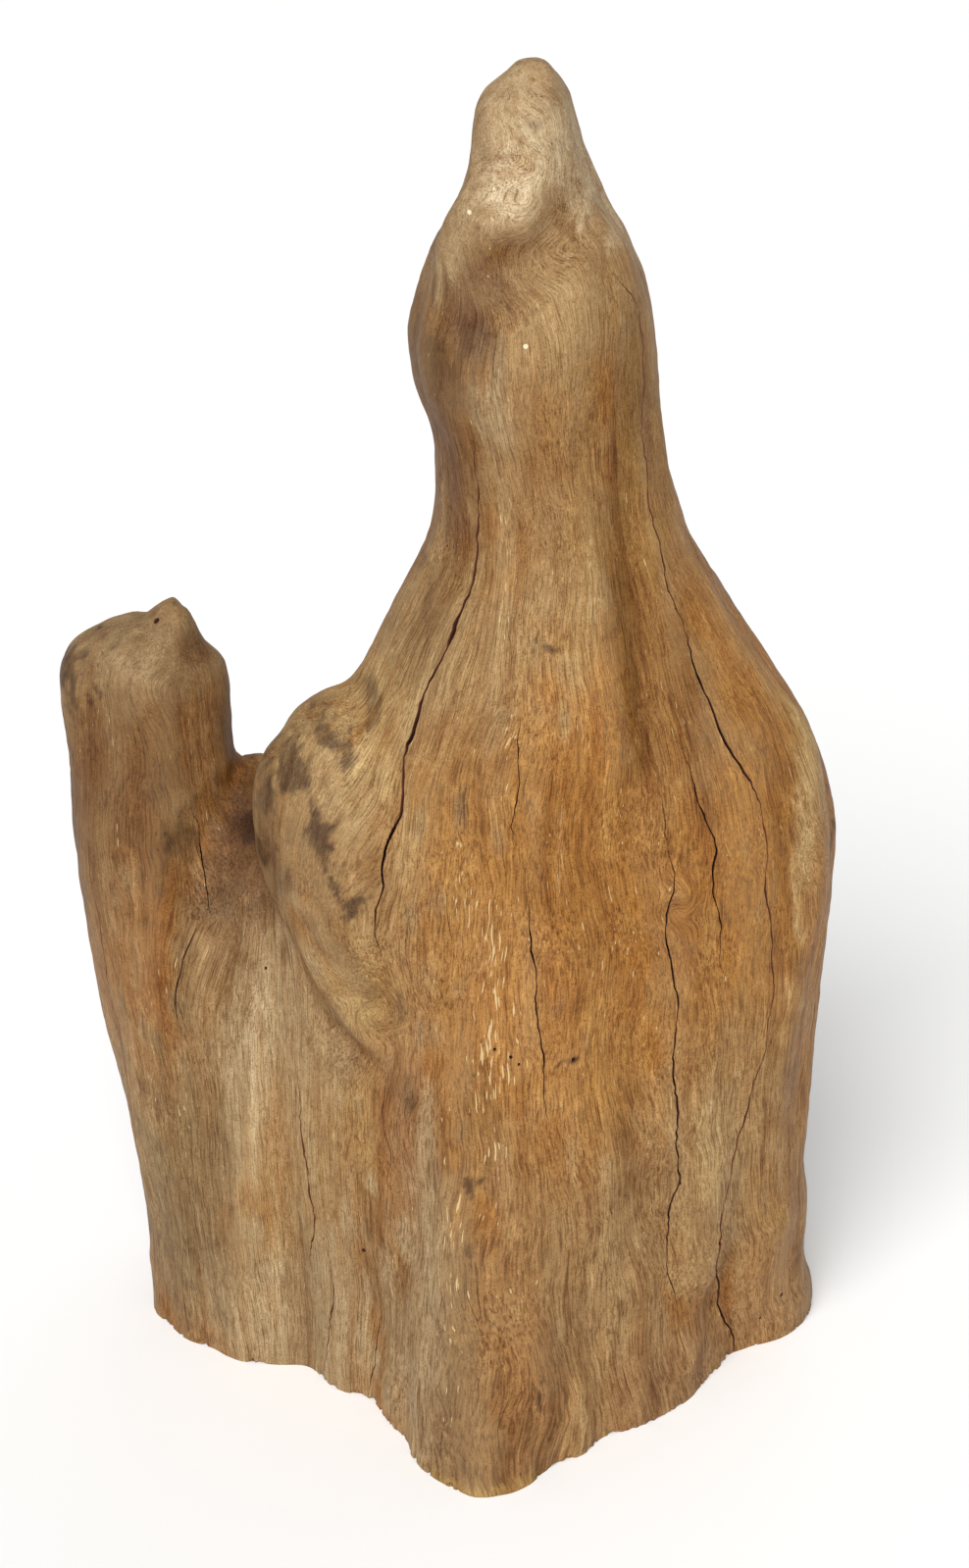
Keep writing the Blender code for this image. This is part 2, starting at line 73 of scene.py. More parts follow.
# Each limb's level sections, from below the saw cut to its tip: height, left, right, front, back
limbs = {
    "trunk": [
        (-40, -94, 142, -111, 150), (0, -90, 138, -108, 146), (100, -88, 125, -105, 132),
        (200, -88, 115, -104, 118), (300, -88, 112, -95, 100), (357, -82, 108, -88, 86),
        (379, -72, 104, -84, 80), (401, -59, 98, -79, 74), (422, -49, 92, -74, 68),
        (443, -38, 87, -68, 62), (464, -27, 82, -62, 56), (485, -23, 78, -58, 52),
        (516, -25, 76, -58, 52), (546, -35, 77, -62, 54), (566, -38, 77, -61, 55),
        (595, -33, 75, -56, 50), (614, -26, 70, -48, 44), (633, -14, 58, -40, 38),
        (652, -8, 47, -35, 33), (668, -8, 43, -30, 28), (678, -4, 41, -26, 24),
        (692, 8, 32, -10, 10)],
    "rightRib": [
        (-40, 84, 186, -16, 96), (0, 85, 184, -19, 95), (16, 85, 183, -23, 95),
        (29, 84, 178, -28, 95), (55, 82, 176, -36, 96), (80, 80, 177, -43, 97),
        (107, 76, 173, -50, 97), (157, 71, 173, -60, 97), (200, 66, 176, -67, 95),
        (265, 60, 180, -73, 88), (300, 57, 179, -73, 82), (346, 52, 171, -68, 72),
        (379, 49, 157, -62, 63), (401, 47, 142, -56, 56), (443, 45, 115, -47, 48),
        (485, 44, 93, -42, 40), (516, 43, 87, -40, 36), (566, 37, 83, -36, 34),
        (600, 29, 76, -29, 28), (625, 22, 56, -22, 20), (650, 30, 44, -8, 8)],
    "frontRib": [
        (-40, -44, 48, -156, 0), (0, -43, 48, -151, 0), (60, -42, 48, -138, 0),
        (120, -40, 50, -123, 0), (180, -36, 54, -110, 0), (240, -30, 52, -97, 0),
        (300, -14, 40, -80, 0)],
    "chestFill": [
        (20, 50, 110, -50, 40), (80, 30, 140, -72, 60), (150, 24, 150, -80, 70), (220, 22, 152, -83, 74),
        (290, 22, 146, -82, 68), (340, 30, 132, -74, 58), (390, 54, 108, -56, 44)],
    "frontFlank": [
        (-40, -68, 89, -131, 88), (0, -68, 89, -128, 88), (60, -64, 87, -119, 84), (120, -57, 84, -110, 80),
        (180, -46, 76, -98, 70), (230, -24, 54, -82, 56)],
    "shoulder": [
        (150, -52, -32, -56, -40), (180, -60, -26, -66, -24), (205, -72, -22, -74, -8),
        (235, -88, -20, -80, 12), (265, -102, -20, -81, 25), (291, -111, -20, -81, 31),
        (313, -116, -20, -79, 33), (334, -116, -22, -76, 33), (350, -113, -26, -70, 31),
        (362, -102, -30, -62, 26), (386, -82, -46, -46, 12)],
    "leftRoot": [
        (-40, -104, -20, -64, 78), (0, -103, -20, -62, 76), (100, -107, -18, -64, 70),
        (200, -111, -22, -65, 60), (255, -112, -34, -60, 48), (290, -107, -46, -52, 36),
        (320, -98, -62, -36, 16)],
    "web": [
        (-40, -170, -56, -37, 100), (0, -168, -56, -36, 98), (100, -178, -58, -36, 88),
        (200, -182, -56, -34, 78), (245, -178, -58, -28, 72), (288, -166, -68, -12, 66),
        (328, -150, -96, 22, 56)],
    "backWeb": [
        (-40, -158, -48, 40, 126), (0, -157, -49, 40, 120), (80, -157, -52, 40, 106),
        (160, -160, -57, 38, 90), (225, -160, -62, 34, 76), (275, -150, -78, 38, 62)],
    "sideKnee": [
        (-40, -189, -72, -23, 132), (0, -188, -74, -23, 129), (55, -189, -88, -24, 116),
        (108, -193, -104, -25, 104), (158, -199, -118, -23, 96), (207, -206, -124, -20, 91),
        (256, -213, -127, -16, 86), (302, -216, -130, -11, 82), (337, -216, -130, -8, 79),
        (359, -218, -130, -6, 77), (380, -219, -130, -3, 74), (405, -197, -154, 20, 50)],
    "sideKneeTip": [
        (370, -180, -137, 10, 58), (396, -175, -141, 14, 54), (419, -165, -151, 28, 40)],
    "backLeftRib": [
        (-40, -70, 24, 80, 168), (0, -68, 24, 76, 160), (120, -62, 24, 66, 146),
        (220, -50, 24, 54, 128), (320, -34, 26, 40, 104), (430, -4, 22, 24, 62)],
    "backRightRib": [
        (-40, 52, 150, 60, 152), (0, 54, 148, 60, 146), (110, 58, 136, 52, 134),
        (190, 58, 128, 44, 127), (240, 60, 122, 40, 118), (290, 74, 104, 56, 84)],
    "backBud": [
        (-40, 2, 62, 100, 168), (0, 4, 60, 98, 164), (60, 8, 58, 92, 160),
        (110, 12, 54, 84, 152), (150, 24, 42, 100, 130)],
}

# Knobs on the limbs: centre, radii, tilt in the frontal plane in degrees
knobs = {
    "headKnob": ((8, -23, 621), (39, 24, 24), 42),
    "crown": ((20, -2, 685), (15, 15, 16), 0),
    "crownShoulder": ((6, -4, 672), (13, 16, 14), 0),
}

# What lies on the skin is drawn as seen square on from one side: 0 from the front, 90 from the right,
# 180 from the back, 270 from the left.  Places are (across, height), across counted to the right.
front, right, back, left = 0, 90, 180, 270

# Folds: seen from, depth, half-width, route.  A ridge has a negative depth.
folds = {
    "valleyBesideRightRib": (front, 2.4, 9.0, [
        (62, 580), (68, 540), (70, 470), (75, 400), (84, 328), (92, 270)]),
    "keelOfChest": (front, -3.0, 9.0, [(46, 530), (53, 466), (60, 414), (66, 350)]),
    "keelOfNeck": (front, -1.6, 9.0, [(8, 560), (11, 505), (12, 450), (10, 420)]),
    "foldUnderShoulder": (front, 1.2, 3.6, [
        (-102, 312), (-96, 310), (-88, 305), (-77, 292), (-66, 277), (-55, 262), (-50, 244), (-48, 215),
        (-50, 170)]),
    "foldBesideSideKnee": (front, 0.9, 7.0, [(-134, 310), (-134, 264), (-142, 215), (-146, 150)]),
    "hollowUnderHeadKnob": (front, 1.6, 8.0, [(-22, 594), (0, 588), (24, 598), (38, 622)]),
    "skirtRidge": (front, -3.0, 10.0, [(-112, 250), (-116, 190), (-120, 120), (-122, 50)]),
    "valleyOfRightSide": (right, 4.0, 10.0, [(44, 470), (50, 360), (58, 240), (50, 120), (46, 0)]),
    "valleyOfNape": (back, 4.0, 9.0, [(-30, 620), (-34, 520), (-44, 420), (-50, 300), (-44, 160)]),
    "keelOfBack": (back, -3.0, 9.0, [(-8, 560), (-4, 470), (6, 380)]),
    "cleftOfLeftSide": (left, 4.0, 8.0, [(-64, 380), (-60, 280), (-70, 160), (-72, 20)]),
    # finer ones, too small for the plain solid
    "creaseUnderKnob": (front, 2.0, 5.4, [(-8, 604), (2, 605), (13, 610), (24, 620), (30, 632)]),
    "sideOfKnob": (front, 1.8, 5.0, [(36, 668), (40, 652), (48, 638), (56, 625)]),
    "keelOfFrontRib": (front, -2.4, 6.5, [(-10, 250), (-12, 200), (-13, 118), (-8, 0)]),
    "lineBesideFrontRib": (front, 1.0, 5.0, [(-26, 260), (-30, 180), (-30, 90), (-26, 10)]),
    "swirlRidgeA": (front, -1.3, 2.6, [(-96, 302), (-86, 296), (-76, 282), (-66, 268), (-58, 256), (-57, 244)]),
    "swirlFoldA": (front, 1.2, 2.2, [(-98, 294), (-90, 286), (-80, 270), (-72, 256), (-66, 242), (-64, 230)]),
    "swirlRidgeB": (front, -1.0, 2.6, [(-98, 284), (-91, 268), (-84, 250), (-76, 238), (-66, 226), (-52, 216)]),
    "swirlFoldB": (front, 1.4, 2.4, [
        (-97, 276), (-94, 250), (-88, 234), (-79, 226), (-70, 219), (-53, 205), (-48, 190)]),
    "roundTheEye": (front, 1.2, 2.0, [
        (-58, 248), (-52, 249), (-47, 243), (-46, 236), (-50, 230), (-56, 229), (-60, 234), (-60, 242)]),
    "fibreFoldA": (front, 0.8, 2.4, [
        (-104, 300), (-117, 275), (-129, 257), (-138, 234), (-142, 209), (-149, 169)]),
    "fibreFoldB": (front, 0.8, 2.6, [(-102, 302), (-113, 254), (-117, 225), (-120, 188), (-122, 151)]),
    "fibreFoldC": (front, 0.7, 2.4, [(-99, 302), (-99, 257), (-98, 211), (-98, 167), (-96, 123)]),
    "fibreFoldD": (front, 0.8, 2.4, [(-108, 304), (-125, 286), (-136, 268), (-146, 240)]),
    "webLip": (front, -1.3, 6.0, [(-164, 314), (-155, 322), (-146, 325), (-138, 332), (-133, 340)]),
    "underWebLip": (front, 0.9, 6.0, [(-158, 312), (-149, 314), (-140, 318), (-130, 326)]),
    "brownHollow": (front, 2.0, 7.0, [(-134, 306), (-124, 312), (-112, 320)]),
    "webFoldC": (front, 0.8, 3.4, [(-94, 226), (-88, 190), (-84, 130), (-78, 60), (-70, 6)]),
    "webFoldD": (front, 0.7, 3.2, [(-70, 200), (-66, 150), (-62, 90), (-56, 30)]),
    "edgeRidgeRight": (front, -1.6, 3.6, [(160, 356), (167, 326), (168, 300), (166, 262)]),
    "browOfNeck": (front, -1.4, 8.0, [(-24, 590), (-8, 600), (10, 606)]),
}
# How sharply folds fade round the side of the wood and towards their ends, and what is left at an end
foldStyle = {"facing": 2.5, "fade": 6, "left": 0.2}

# Waves that lift the skin: seed, height of each wave, how many, length across and up the grain
reliefWaves = {
    "flutes": (7, 0.30, 26, (26.0, 80.0), (160.0, 420.0)),
    "fineFlutes": (11, 0.022, 60, (9.0, 22.0), (70.0, 240.0)),
    "lumps": (13, 0.035, 34, (24.0, 60.0), (24.0, 60.0)),
    "dents": (17, 0.014, 50, (10.0, 18.0), (10.0, 20.0)),
}

# Drying cracks: seen from, width, depth, route
cracks = {
    "leftCheck": (front, 1.8, 22.0, [
        (-5, 534), (-3, 493), (-3, 474), (-7, 455), (-11, 444), (-18, 429), (-26, 412), (-33, 393),
        (-38, 378), (-39, 362), (-41, 347), (-46, 333), (-51, 317), (-50, 307), (-53, 298), (-54, 283),
        (-51, 271)]),
    "centreCheck": (front, 0.95, 14.0, [
        (20, 314), (22, 296), (25, 273), (25, 258), (28, 237), (30, 211), (31, 192)]),
    "rightLongCheck": (front, 1.0, 18.0, [
        (78, 498), (82, 479), (88, 455), (98, 427), (106, 403), (115, 383), (128, 361), (136, 347),
        (138, 328), (139, 302), (144, 268), (145, 245), (143, 215), (138, 186)]),
    "rightLowCheck": (front, 1.3, 12.0, [
        (143, 214), (137, 185), (131, 157), (124, 116), (122, 80), (126, 38), (136, 7), (140, -36)]),
    "neckRightCheck": (front, 1.0, 9.0, [
        (60, 606), (70, 591), (75, 572), (75, 545), (75, 531), (78, 498), (82, 479), (88, 455), (96, 432)]),
    "rightMiddleCheck": (front, 0.8, 8.0, [
        (94, 382), (101, 360), (108, 342), (113, 330), (112, 319), (113, 304), (116, 288), (118, 263)]),
    "valleyCheck": (front, 1.05, 14.0, [
        (86, 360), (88, 335), (94, 314), (90, 300), (89, 287), (93, 261), (97, 247), (95, 230), (94, 219),
        (96, 202), (97, 185), (98, 171), (98, 153), (100, 141), (96, 128), (94, 107), (96, 80), (101, 59),
        (106, 38)]),
    "skirtCheck": (front, 1.15, 12.0, [
        (-97, 191), (-95, 170), (-94, 146), (-91, 121), (-89, 108), (-93, 65)]),
    "footCheckA": (front, 0.8, 8.0, [(-81, 76), (-80, 51), (-82, 38), (-85, 21), (-86, 0)]),
    "footCheckB": (front, 0.9, 8.0, [(-54, 62), (-56, 40), (-59, 22), (-62, 0)]),
    "sideKneeCheckHigh": (front, 0.9, 9.0, [(-150, 318), (-147, 306), (-146, 294), (-143, 281), (-142, 264)]),
    "sideKneeCheckLow": (front, 0.9, 9.0, [
        (-147, 262), (-150, 250), (-156, 239), (-160, 222), (-160, 208), (-157, 192)]),
    "hairlineA": (front, 0.6, 4.0, [(17, 401), (16, 369), (14, 350), (14, 335)]),
    "hairlineB": (front, 0.5, 4.0, [(-19, 313), (-16, 285)]),
    "hairlineC": (front, 0.6, 4.0, [(-50, 200), (-52, 182), (-48, 160), (-50, 142)]),
    "hairlineD": (front, 0.5, 4.0, [(-20, 60), (-26, 46), (-18, 38), (-22, 24), (-16, 16)]),
    "rightSideCheck": (right, 2.0, 18.0, [
        (6, 400), (10, 340), (20, 290), (18, 230), (26, 170), (24, 110), (30, 60)]),
    "rightSideHairline": (right, 0.8, 6.0, [(-20, 330), (-16, 280), (-22, 230), (-18, 190)]),
    "rightFootCheck": (right, 1.2, 8.0, [(64, 90), (62, 60), (66, 30), (64, 0)]),
    "backCheck": (back, 2.4, 22.0, [
        (-22, 540), (-24, 480), (-20, 430), (-28, 370), (-26, 320), (-34, 260), (-30, 200), (-38, 150)]),
    "backFootCheck": (back, 2.0, 16.0, [(50, 190), (46, 140), (52, 90), (48, 40), (52, -4)]),
    "backHairline": (back, 0.8, 6.0, [(20, 430), (26, 380), (22, 330), (30, 280), (28, 250)]),
    "backLowCheck": (back, 1.2, 8.0, [(-80, 200), (-84, 150), (-80, 100), (-88, 50)]),
    "backKneeCheck": (back, 1.3, 9.0, [(160, 330), (164, 280), (158, 230), (162, 180), (156, 130)]),
    "leftSideCheck": (left, 1.8, 14.0, [(-38, 330), (-34, 270), (-40, 210), (-36, 150), (-44, 90)]),
    "leftSideHairline": (left, 0.8, 6.0, [(0, 300), (4, 250), (-2, 200), (2, 150)]),
}
crackStyle = {
    "seed": 21, "castFrom": 500.0, "spacing": 3.0,
    "lift": 2.0,  # the mouth stands this far off the skin
    "wobble": 0.5, "jitter": 0.5, "sway": 1.2, "swayLength": 6.3,  # how far the points are thrown sideways
    "ragged": 0.22, "leastOpening": 0.05, "leastDepth": 1.0,
}

# Insect pinholes: seen from, place, diameter
pinholes = [
    (front, (-166, 410), 3.0), (front, (-63, 92), 2.2), (front, (162, 30), 2.4), (front, (5, 232), 1.6),
    (front, (13, 228), 1.8), (front, (17, 224), 1.4), (front, (100, 140), 1.8), (front, (44, 224), 2.2),
    (front, (150, 20), 1.6), (front, (-18, 470), 1.4), (right, (10, 480), 1.8), (right, (44, 210), 2.0),
    (right, (36, 196), 1.5), (back, (-12, 300), 1.8), (back, (60, 330), 1.6), (back, (-120, 140), 2.0),
    (back, (150, 380), 2.0), (left, (-20, 360), 1.8), (left, (30, 240), 1.6),
]

# A pinhole's profile: how deep each of its rings lies, and its radius for a diameter of 1
pegShape = {"depths": (-1.5, 0.5, 3.0, 4.5), "radii": (0.52, 0.5, 0.42, 0.2), "sides": 12, "tall": 1.15}

# Chips broken out of the sawn rim: how many, and their least and greatest length, reach and height
rimChips = {
    "seed": 5, "count": 150, "length": (2.5, 8.0), "reach": (0.6, 2.2), "height": (0.8, 3.6),
    "rows": 5, "sides": 7, "rowEnd": 80, "bumps": 0.25,
    "heart": (-5.0, 10.0, 1.2), "castFrom": 400.0,  # rays come in from this far to find the rim
}

# The knee's three material slots
skinSlot, crackSlot, sawnSlot = 0, 1, 2


def newObject(name, mesh, collection):
    made = bpy.data.objects.new(name, mesh)
    collection.objects.link(made)
    return made


def newCollection(name):
    made = bpy.data.collections.new(name)
    bpy.context.scene.collection.children.link(made)
    return made


# The object's mesh with its modifiers applied
def evaluatedMesh(source):
    bpy.context.view_layer.update()
    graph = bpy.context.evaluated_depsgraph_get()
    return bpy.data.meshes.new_from_object(source.evaluated_get(graph))


# Each row read at other heights, along a cubic whose slope is the harmonic mean of its neighbours'
def rowsBetween(heights, rows, at):
    steps = np.diff(heights)[:, None]
    slopes = np.diff(rows, axis=0) / steps
    sameWay = slopes[1:] * slopes[:-1] > 0
    total = np.where(sameWay, slopes[1:] + slopes[:-1], 1)
    tangents = np.zeros_like(rows)
    tangents[1:-1] = np.where(sameWay, 2 * slopes[1:] * slopes[:-1] / total, 0)
    tangents[0], tangents[-1] = slopes[0], slopes[-1]
    k = np.clip(np.searchsorted(heights, at) - 1, 0, len(heights) - 2)
    t = ((at - heights[k]) / (heights[k + 1] - heights[k]))[:, None]
    return ((1 + 2 * t) * (1 - t) ** 2 * rows[k] + t * (1 - t) ** 2 * steps[k] * tangents[k]
            + t * t * (3 - 2 * t) * rows[k + 1] + t * t * (t - 1) * steps[k] * tangents[k + 1])


# rings[i, j] is point j of ring i: quads join each ring to the next, and a flat cap closes each end
def meshFromRings(name, rings, outwards=False):
    count, sides = rings.shape[:2]
    number = np.arange(count * sides).reshape(count, sides)
    lower, upper = number[:-1], number[1:]
    quads = np.stack([lower, np.roll(lower, -1, 1), np.roll(upper, -1, 1), upper], axis=2)
    faces = quads.reshape(-1, 4).tolist() + [number[0, ::-1].tolist(), number[-1].tolist()]
    mesh = bpy.data.meshes.new(name)
    mesh.from_pydata((rings.reshape(-1, 3) * mm).tolist(), [], faces)
    mesh.update()
    if outwards:
        bm = bmesh.new()
        bm.from_mesh(mesh)
        bmesh.ops.recalc_face_normals(bm, faces=bm.faces)
        bm.to_mesh(mesh)
        bm.free()
    return mesh


# A limb's skin over (height, turn): an oval whose four sides follow the table, then a quarter-round dome
def limbRings(sections):
    table = np.array(sections, float)
    heights, sides = table[:, 0], table[:, 1:]
    wallTop, tip = heights[-2], heights[-1]
    wall = np.linspace(heights[0], wallTop, max(2, round((wallTop - heights[0]) / build["ringSpacing"])))
    dome = np.radians(build["domeAngles"])
    at = np.concatenate([wall, wallTop + (tip - wallTop) * np.sin(dome)])
    shrink = np.concatenate([np.ones(len(wall)), np.cos(dome)])
    leftSide, rightSide, frontSide, backSide = rowsBetween(heights, sides, at).T
    wide = rowsBetween(heights, sides, np.minimum(at, wallTop)).T
    turn = np.linspace(0, 2 * math.pi, build["ringSides"], endpoint=False)
    x = ((leftSide + rightSide) / 2)[:, None] + ((wide[1] - wide[0]) / 2 * shrink)[:, None] * np.cos(turn)
    y = ((frontSide + backSide) / 2)[:, None] + ((wide[3] - wide[2]) / 2 * shrink)[:, None] * np.sin(turn)
    return np.stack([x, y, np.broadcast_to(at[:, None], x.shape)], axis=2)


# A ball over (latitude, longitude), drawn out to three radii and turned in the frontal plane
def knobRings(centre, radii, tilt):
    end, sides = build["knobEnd"], build["knobSides"]
    latitude = np.radians(np.linspace(-end, end, build["knobRows"]))[:, None]
    longitude = np.linspace(0, 2 * math.pi, sides, endpoint=False)
    x = radii[0] * np.cos(latitude) * np.cos(longitude)
    y = radii[1] * np.cos(latitude) * np.sin(longitude)
    z = radii[2] * np.sin(latitude) * np.ones(sides)
    turn = math.radians(tilt)
    across = x * math.cos(turn) - z * math.sin(turn)
    up = x * math.sin(turn) + z * math.cos(turn)
    return np.stack([across, y, up], axis=2) + np.array(centre, float)


# The limbs and knobs united, made one skin and rounded, as growing wood rounds its joins
def fuseLimbs(workshop):
    others = newCollection("limbs and knobs")
    for name, sections in limbs.items():
        if name != "trunk":
            newObject(name, meshFromRings(name, limbRings(sections)), others)
    for name, (centre, radii, tilt) in knobs.items():
        newObject(name, meshFromRings(name, knobRings(centre, radii, tilt)), others)
    trunk = newObject("trunk", meshFromRings("trunk", limbRings(limbs["trunk"])), workshop)
    join = trunk.modifiers.new("join the limbs", "BOOLEAN")
    join.operation, join.solver = "UNION", "MANIFOLD"
    join.operand_type, join.collection = "COLLECTION", others
    skin = trunk.modifiers.new("one skin", "REMESH")
    skin.mode, skin.voxel_size = "VOXEL", build["voxel"] * mm
    rounding = trunk.modifiers.new("round the joins", "SMOOTH")
    rounding.factor, rounding.iterations = build["rounding"], build["roundingSteps"]
    mesh = evaluatedMesh(trunk)
    for made in list(others.objects) + [trunk]:
        bpy.data.objects.remove(made)
    bpy.data.collections.remove(others)
    return mesh


# A mesh's points, in millimetres
def readPoints(mesh):
    points = np.empty(len(mesh.vertices) * 3)
    mesh.vertices.foreach_get("co", points)
    return points.reshape(-1, 3) / mm


def readNormals(mesh):
    normals = np.empty(len(mesh.vertices) * 3)
    mesh.vertex_normals.foreach_get("vector", normals)
    return normals.reshape(-1, 3)


# The way to the right and the way towards the eye, seen from an azimuth
def sideAxes(seenFrom):
    turn = math.radians(seenFrom)
    return np.array([math.cos(turn), math.sin(turn), 0.0]), np.array([math.sin(turn), -math.cos(turn), 0.0])


# Each point's distance to a bent line in the plane, and how far along it that is, from 0 to 1
def distanceToRoute(points, route):
    lengths = np.linalg.norm(np.diff(route, axis=0), axis=1)
    walked = np.concatenate([[0], np.cumsum(lengths)])
    nearest = np.full(len(points), np.inf)
    along = np.zeros(len(points))
    for start, end, length, before in zip(route, route[1:], lengths, walked):
        t = np.clip((points - start) @ (end - start) / length**2, 0, 1)
        distance = np.linalg.norm(points - start - t[:, None] * (end - start), axis=1)
        closer = distance < nearest
        nearest = np.where(closer, distance, nearest)
        along = np.where(closer, (before + t * length) / walked[-1], along)
    return nearest, along


# How far the folds lift the skin: a bell curve across each route, fading at its ends and round the side
def foldHeight(points, normals):
    lift = np.zeros(len(points))
    for seenFrom, depth, halfWidth, route in folds.values():
        across, outward = sideAxes(seenFrom)
        seen = np.column_stack([points @ across, points[:, 2]])
        away, along = distanceToRoute(seen, np.array(route, float))
        facing = np.clip(foldStyle["facing"] * normals @ outward, 0, 1)
        ends = np.clip(foldStyle["fade"] * np.minimum(along, 1 - along) + foldStyle["left"], 0, 1)
        lift -= depth * np.exp(-0.5 * (away / halfWidth) ** 2) * facing * ends
    return lift


# A sum of sine waves at seeded angles, each with its own length across and up
def waves(points, seed, count, acrossLength, upLength):
    rng = np.random.default_rng(seed)
    total = np.zeros(len(points))
    for _ in range(count):
        turn, phase = rng.uniform(0, 2 * math.pi, 2)
        wave = np.array([math.cos(turn) / rng.uniform(*acrossLength),
                         math.sin(turn) / rng.uniform(*acrossLength), 1 / rng.uniform(*upLength)])
        total += np.sin(2 * math.pi * points @ wave + phase)
    return total


# 0 up to low and 1 from high on, and between them three t squared less two t cubed
def smoothStep(low, high, value):
    t = np.clip((value - low) / (high - low), 0, 1)
    return t * t * (3 - 2 * t)


# How the fibres run
fibres = {
    "limbs": ("trunk", "rightRib", "sideKnee", "backLeftRib", "backRightRib"),
    # level sections, like a limb's, of the broad fan of fibres between the trunk and the side knee
    "fan": [(-40, -176, -56, -37, 100), (150, -174, -54, -35, 88), (340, -168, -50, -24, 70)],
    "blend": 16.0,  # limbs blend over this distance from their skins
    "fade": 5.0,  # and this many times more slowly past their ends
    "onSkin": 0.88,  # how nearly the fibres follow the skin where it lies off the limb's own: 1 is wholly
    # where the fibres draw together and fan out again: centre, reach across, reach up, strength
    "fanPinch": ((-102, 304), 38, 60, 2.0),
    "pinches": [((-40, 540), 40, 50, 0.5), ((4, 606), 34, 24, 0.5)],
    # where the fibres lean over: centre, reach across, reach up, slope
    "leans": [((-72, 258), 22, 36, 0.9), ((46, 640), 16, 40, 0.25)],
    # centre seen from the front, radius and turn in degrees: the fibres curl round it
    "curls": [((9, 641), 24, 200), ((22, 672), 14, -110), ((-53, 239), 9, 260), ((2, 612), 12, 80),
              ((168, 312), 9, 120), ((96, 300), 8, 90), ((-163, 396), 18, 60)],
    # pinches, leans and curls fade in between these depths, so that they stay on the front
    "front": (40, 0), "curlFront": (30, -10),
    # waves that shift the fibres: axis, seed, wave length, height, and what the head's curls add to it
    "waveCount": 12, "curlyHead": (585, 640),
    "wander": [(0, 31, (60, 160), 0.5, 0), (1, 32, (60, 160), 0.5, 0),
               (0, 33, (14, 40), 0.07, 0.9), (2, 34, (18, 50), 0.2, 2.0)],
}


# How much the fibres are drawn aside at each place in front: a bell curve round the centre
def pinchWindow(x, y, z, centre, reachX, reachZ):
    away = ((x - centre[0]) / reachX) ** 2 + ((z - centre[1]) / reachZ) ** 2
    return np.exp(-away) * smoothStep(*fibres["front"], y)


# Where each point lies among the fibres: it is measured from its limb's axis in units of the oval there, so
# that lines of equal value run up the limb and lean with it.  Limbs are blended by how close their skins are.
def fibreCoordinates(points):
    x, y, z = points.T
    total = np.zeros_like(points)
    weights = np.zeros(len(points))
    for sections in [limbs[name] for name in fibres["limbs"]] + [fibres["fan"]]:
        table = np.array(sections, float)
        heights, sides = table[:, 0], table[:, 1:]
        within = np.clip(z, heights[0], heights[-2])
        leftSide, rightSide, frontSide, backSide = rowsBetween(heights, sides, within).T
        halfWidth, halfDepth = (rightSide - leftSide) / 2, (backSide - frontSide) / 2
        u = (x - (leftSide + rightSide) / 2) / halfWidth
        v = (y - (frontSide + backSide) / 2) / halfDepth
        reach = np.hypot(u, v)
        past = np.maximum(0, heights[0] - z) + np.maximum(0, z - heights[-1])
        away = np.abs(reach - 1) * np.minimum(halfWidth, halfDepth) + past / fibres["fade"]
        weight = np.exp(-away / fibres["blend"]) + 1e-9
        mean = sides[heights >= 0].mean(0)
        onSkin = np.maximum(reach, 0.2) ** -fibres["onSkin"]
        inLimb = np.column_stack([(mean[0] + mean[1]) / 2 + u * onSkin * (mean[1] - mean[0]) / 2,
                                  (mean[2] + mean[3]) / 2 + v * onSkin * (mean[3] - mean[2]) / 2, z])
        if sections is fibres["fan"]:
            centre, reachX, reachZ, strength = fibres["fanPinch"]
            inLimb[:, 0] += (x - centre[0]) * strength * pinchWindow(x, y, z, centre, reachX, reachZ)
        total += inLimb * weight[:, None]
        weights += weight
    grain = total / weights[:, None]
    for centre, reachX, reachZ, strength in fibres["pinches"]:
        grain[:, 0] += (x - centre[0]) * strength * pinchWindow(x, y, z, centre, reachX, reachZ)
    for centre, reachX, reachZ, slope in fibres["leans"]:
        grain[:, 0] += (z - centre[1]) * slope * pinchWindow(x, y, z, centre, reachX, reachZ)
    for (centreX, centreZ), radius, degrees in fibres["curls"]:
        fromX, fromZ = x - centreX, z - centreZ
        inFront = smoothStep(*fibres["curlFront"], y)
        turn = math.radians(degrees) * np.exp(-(fromX**2 + fromZ**2) / radius**2) * inFront
        grain[:, 0] += fromX * (np.cos(turn) - 1) - fromZ * np.sin(turn)
        grain[:, 2] += fromX * np.sin(turn) + fromZ * (np.cos(turn) - 1)
    curly = smoothStep(*fibres["curlyHead"], z)
    for axis, seed, length, height, added in fibres["wander"]:
        grain[:, axis] += waves(points, seed, fibres["waveCount"], length, length) * (height + added * curly)
    return grain


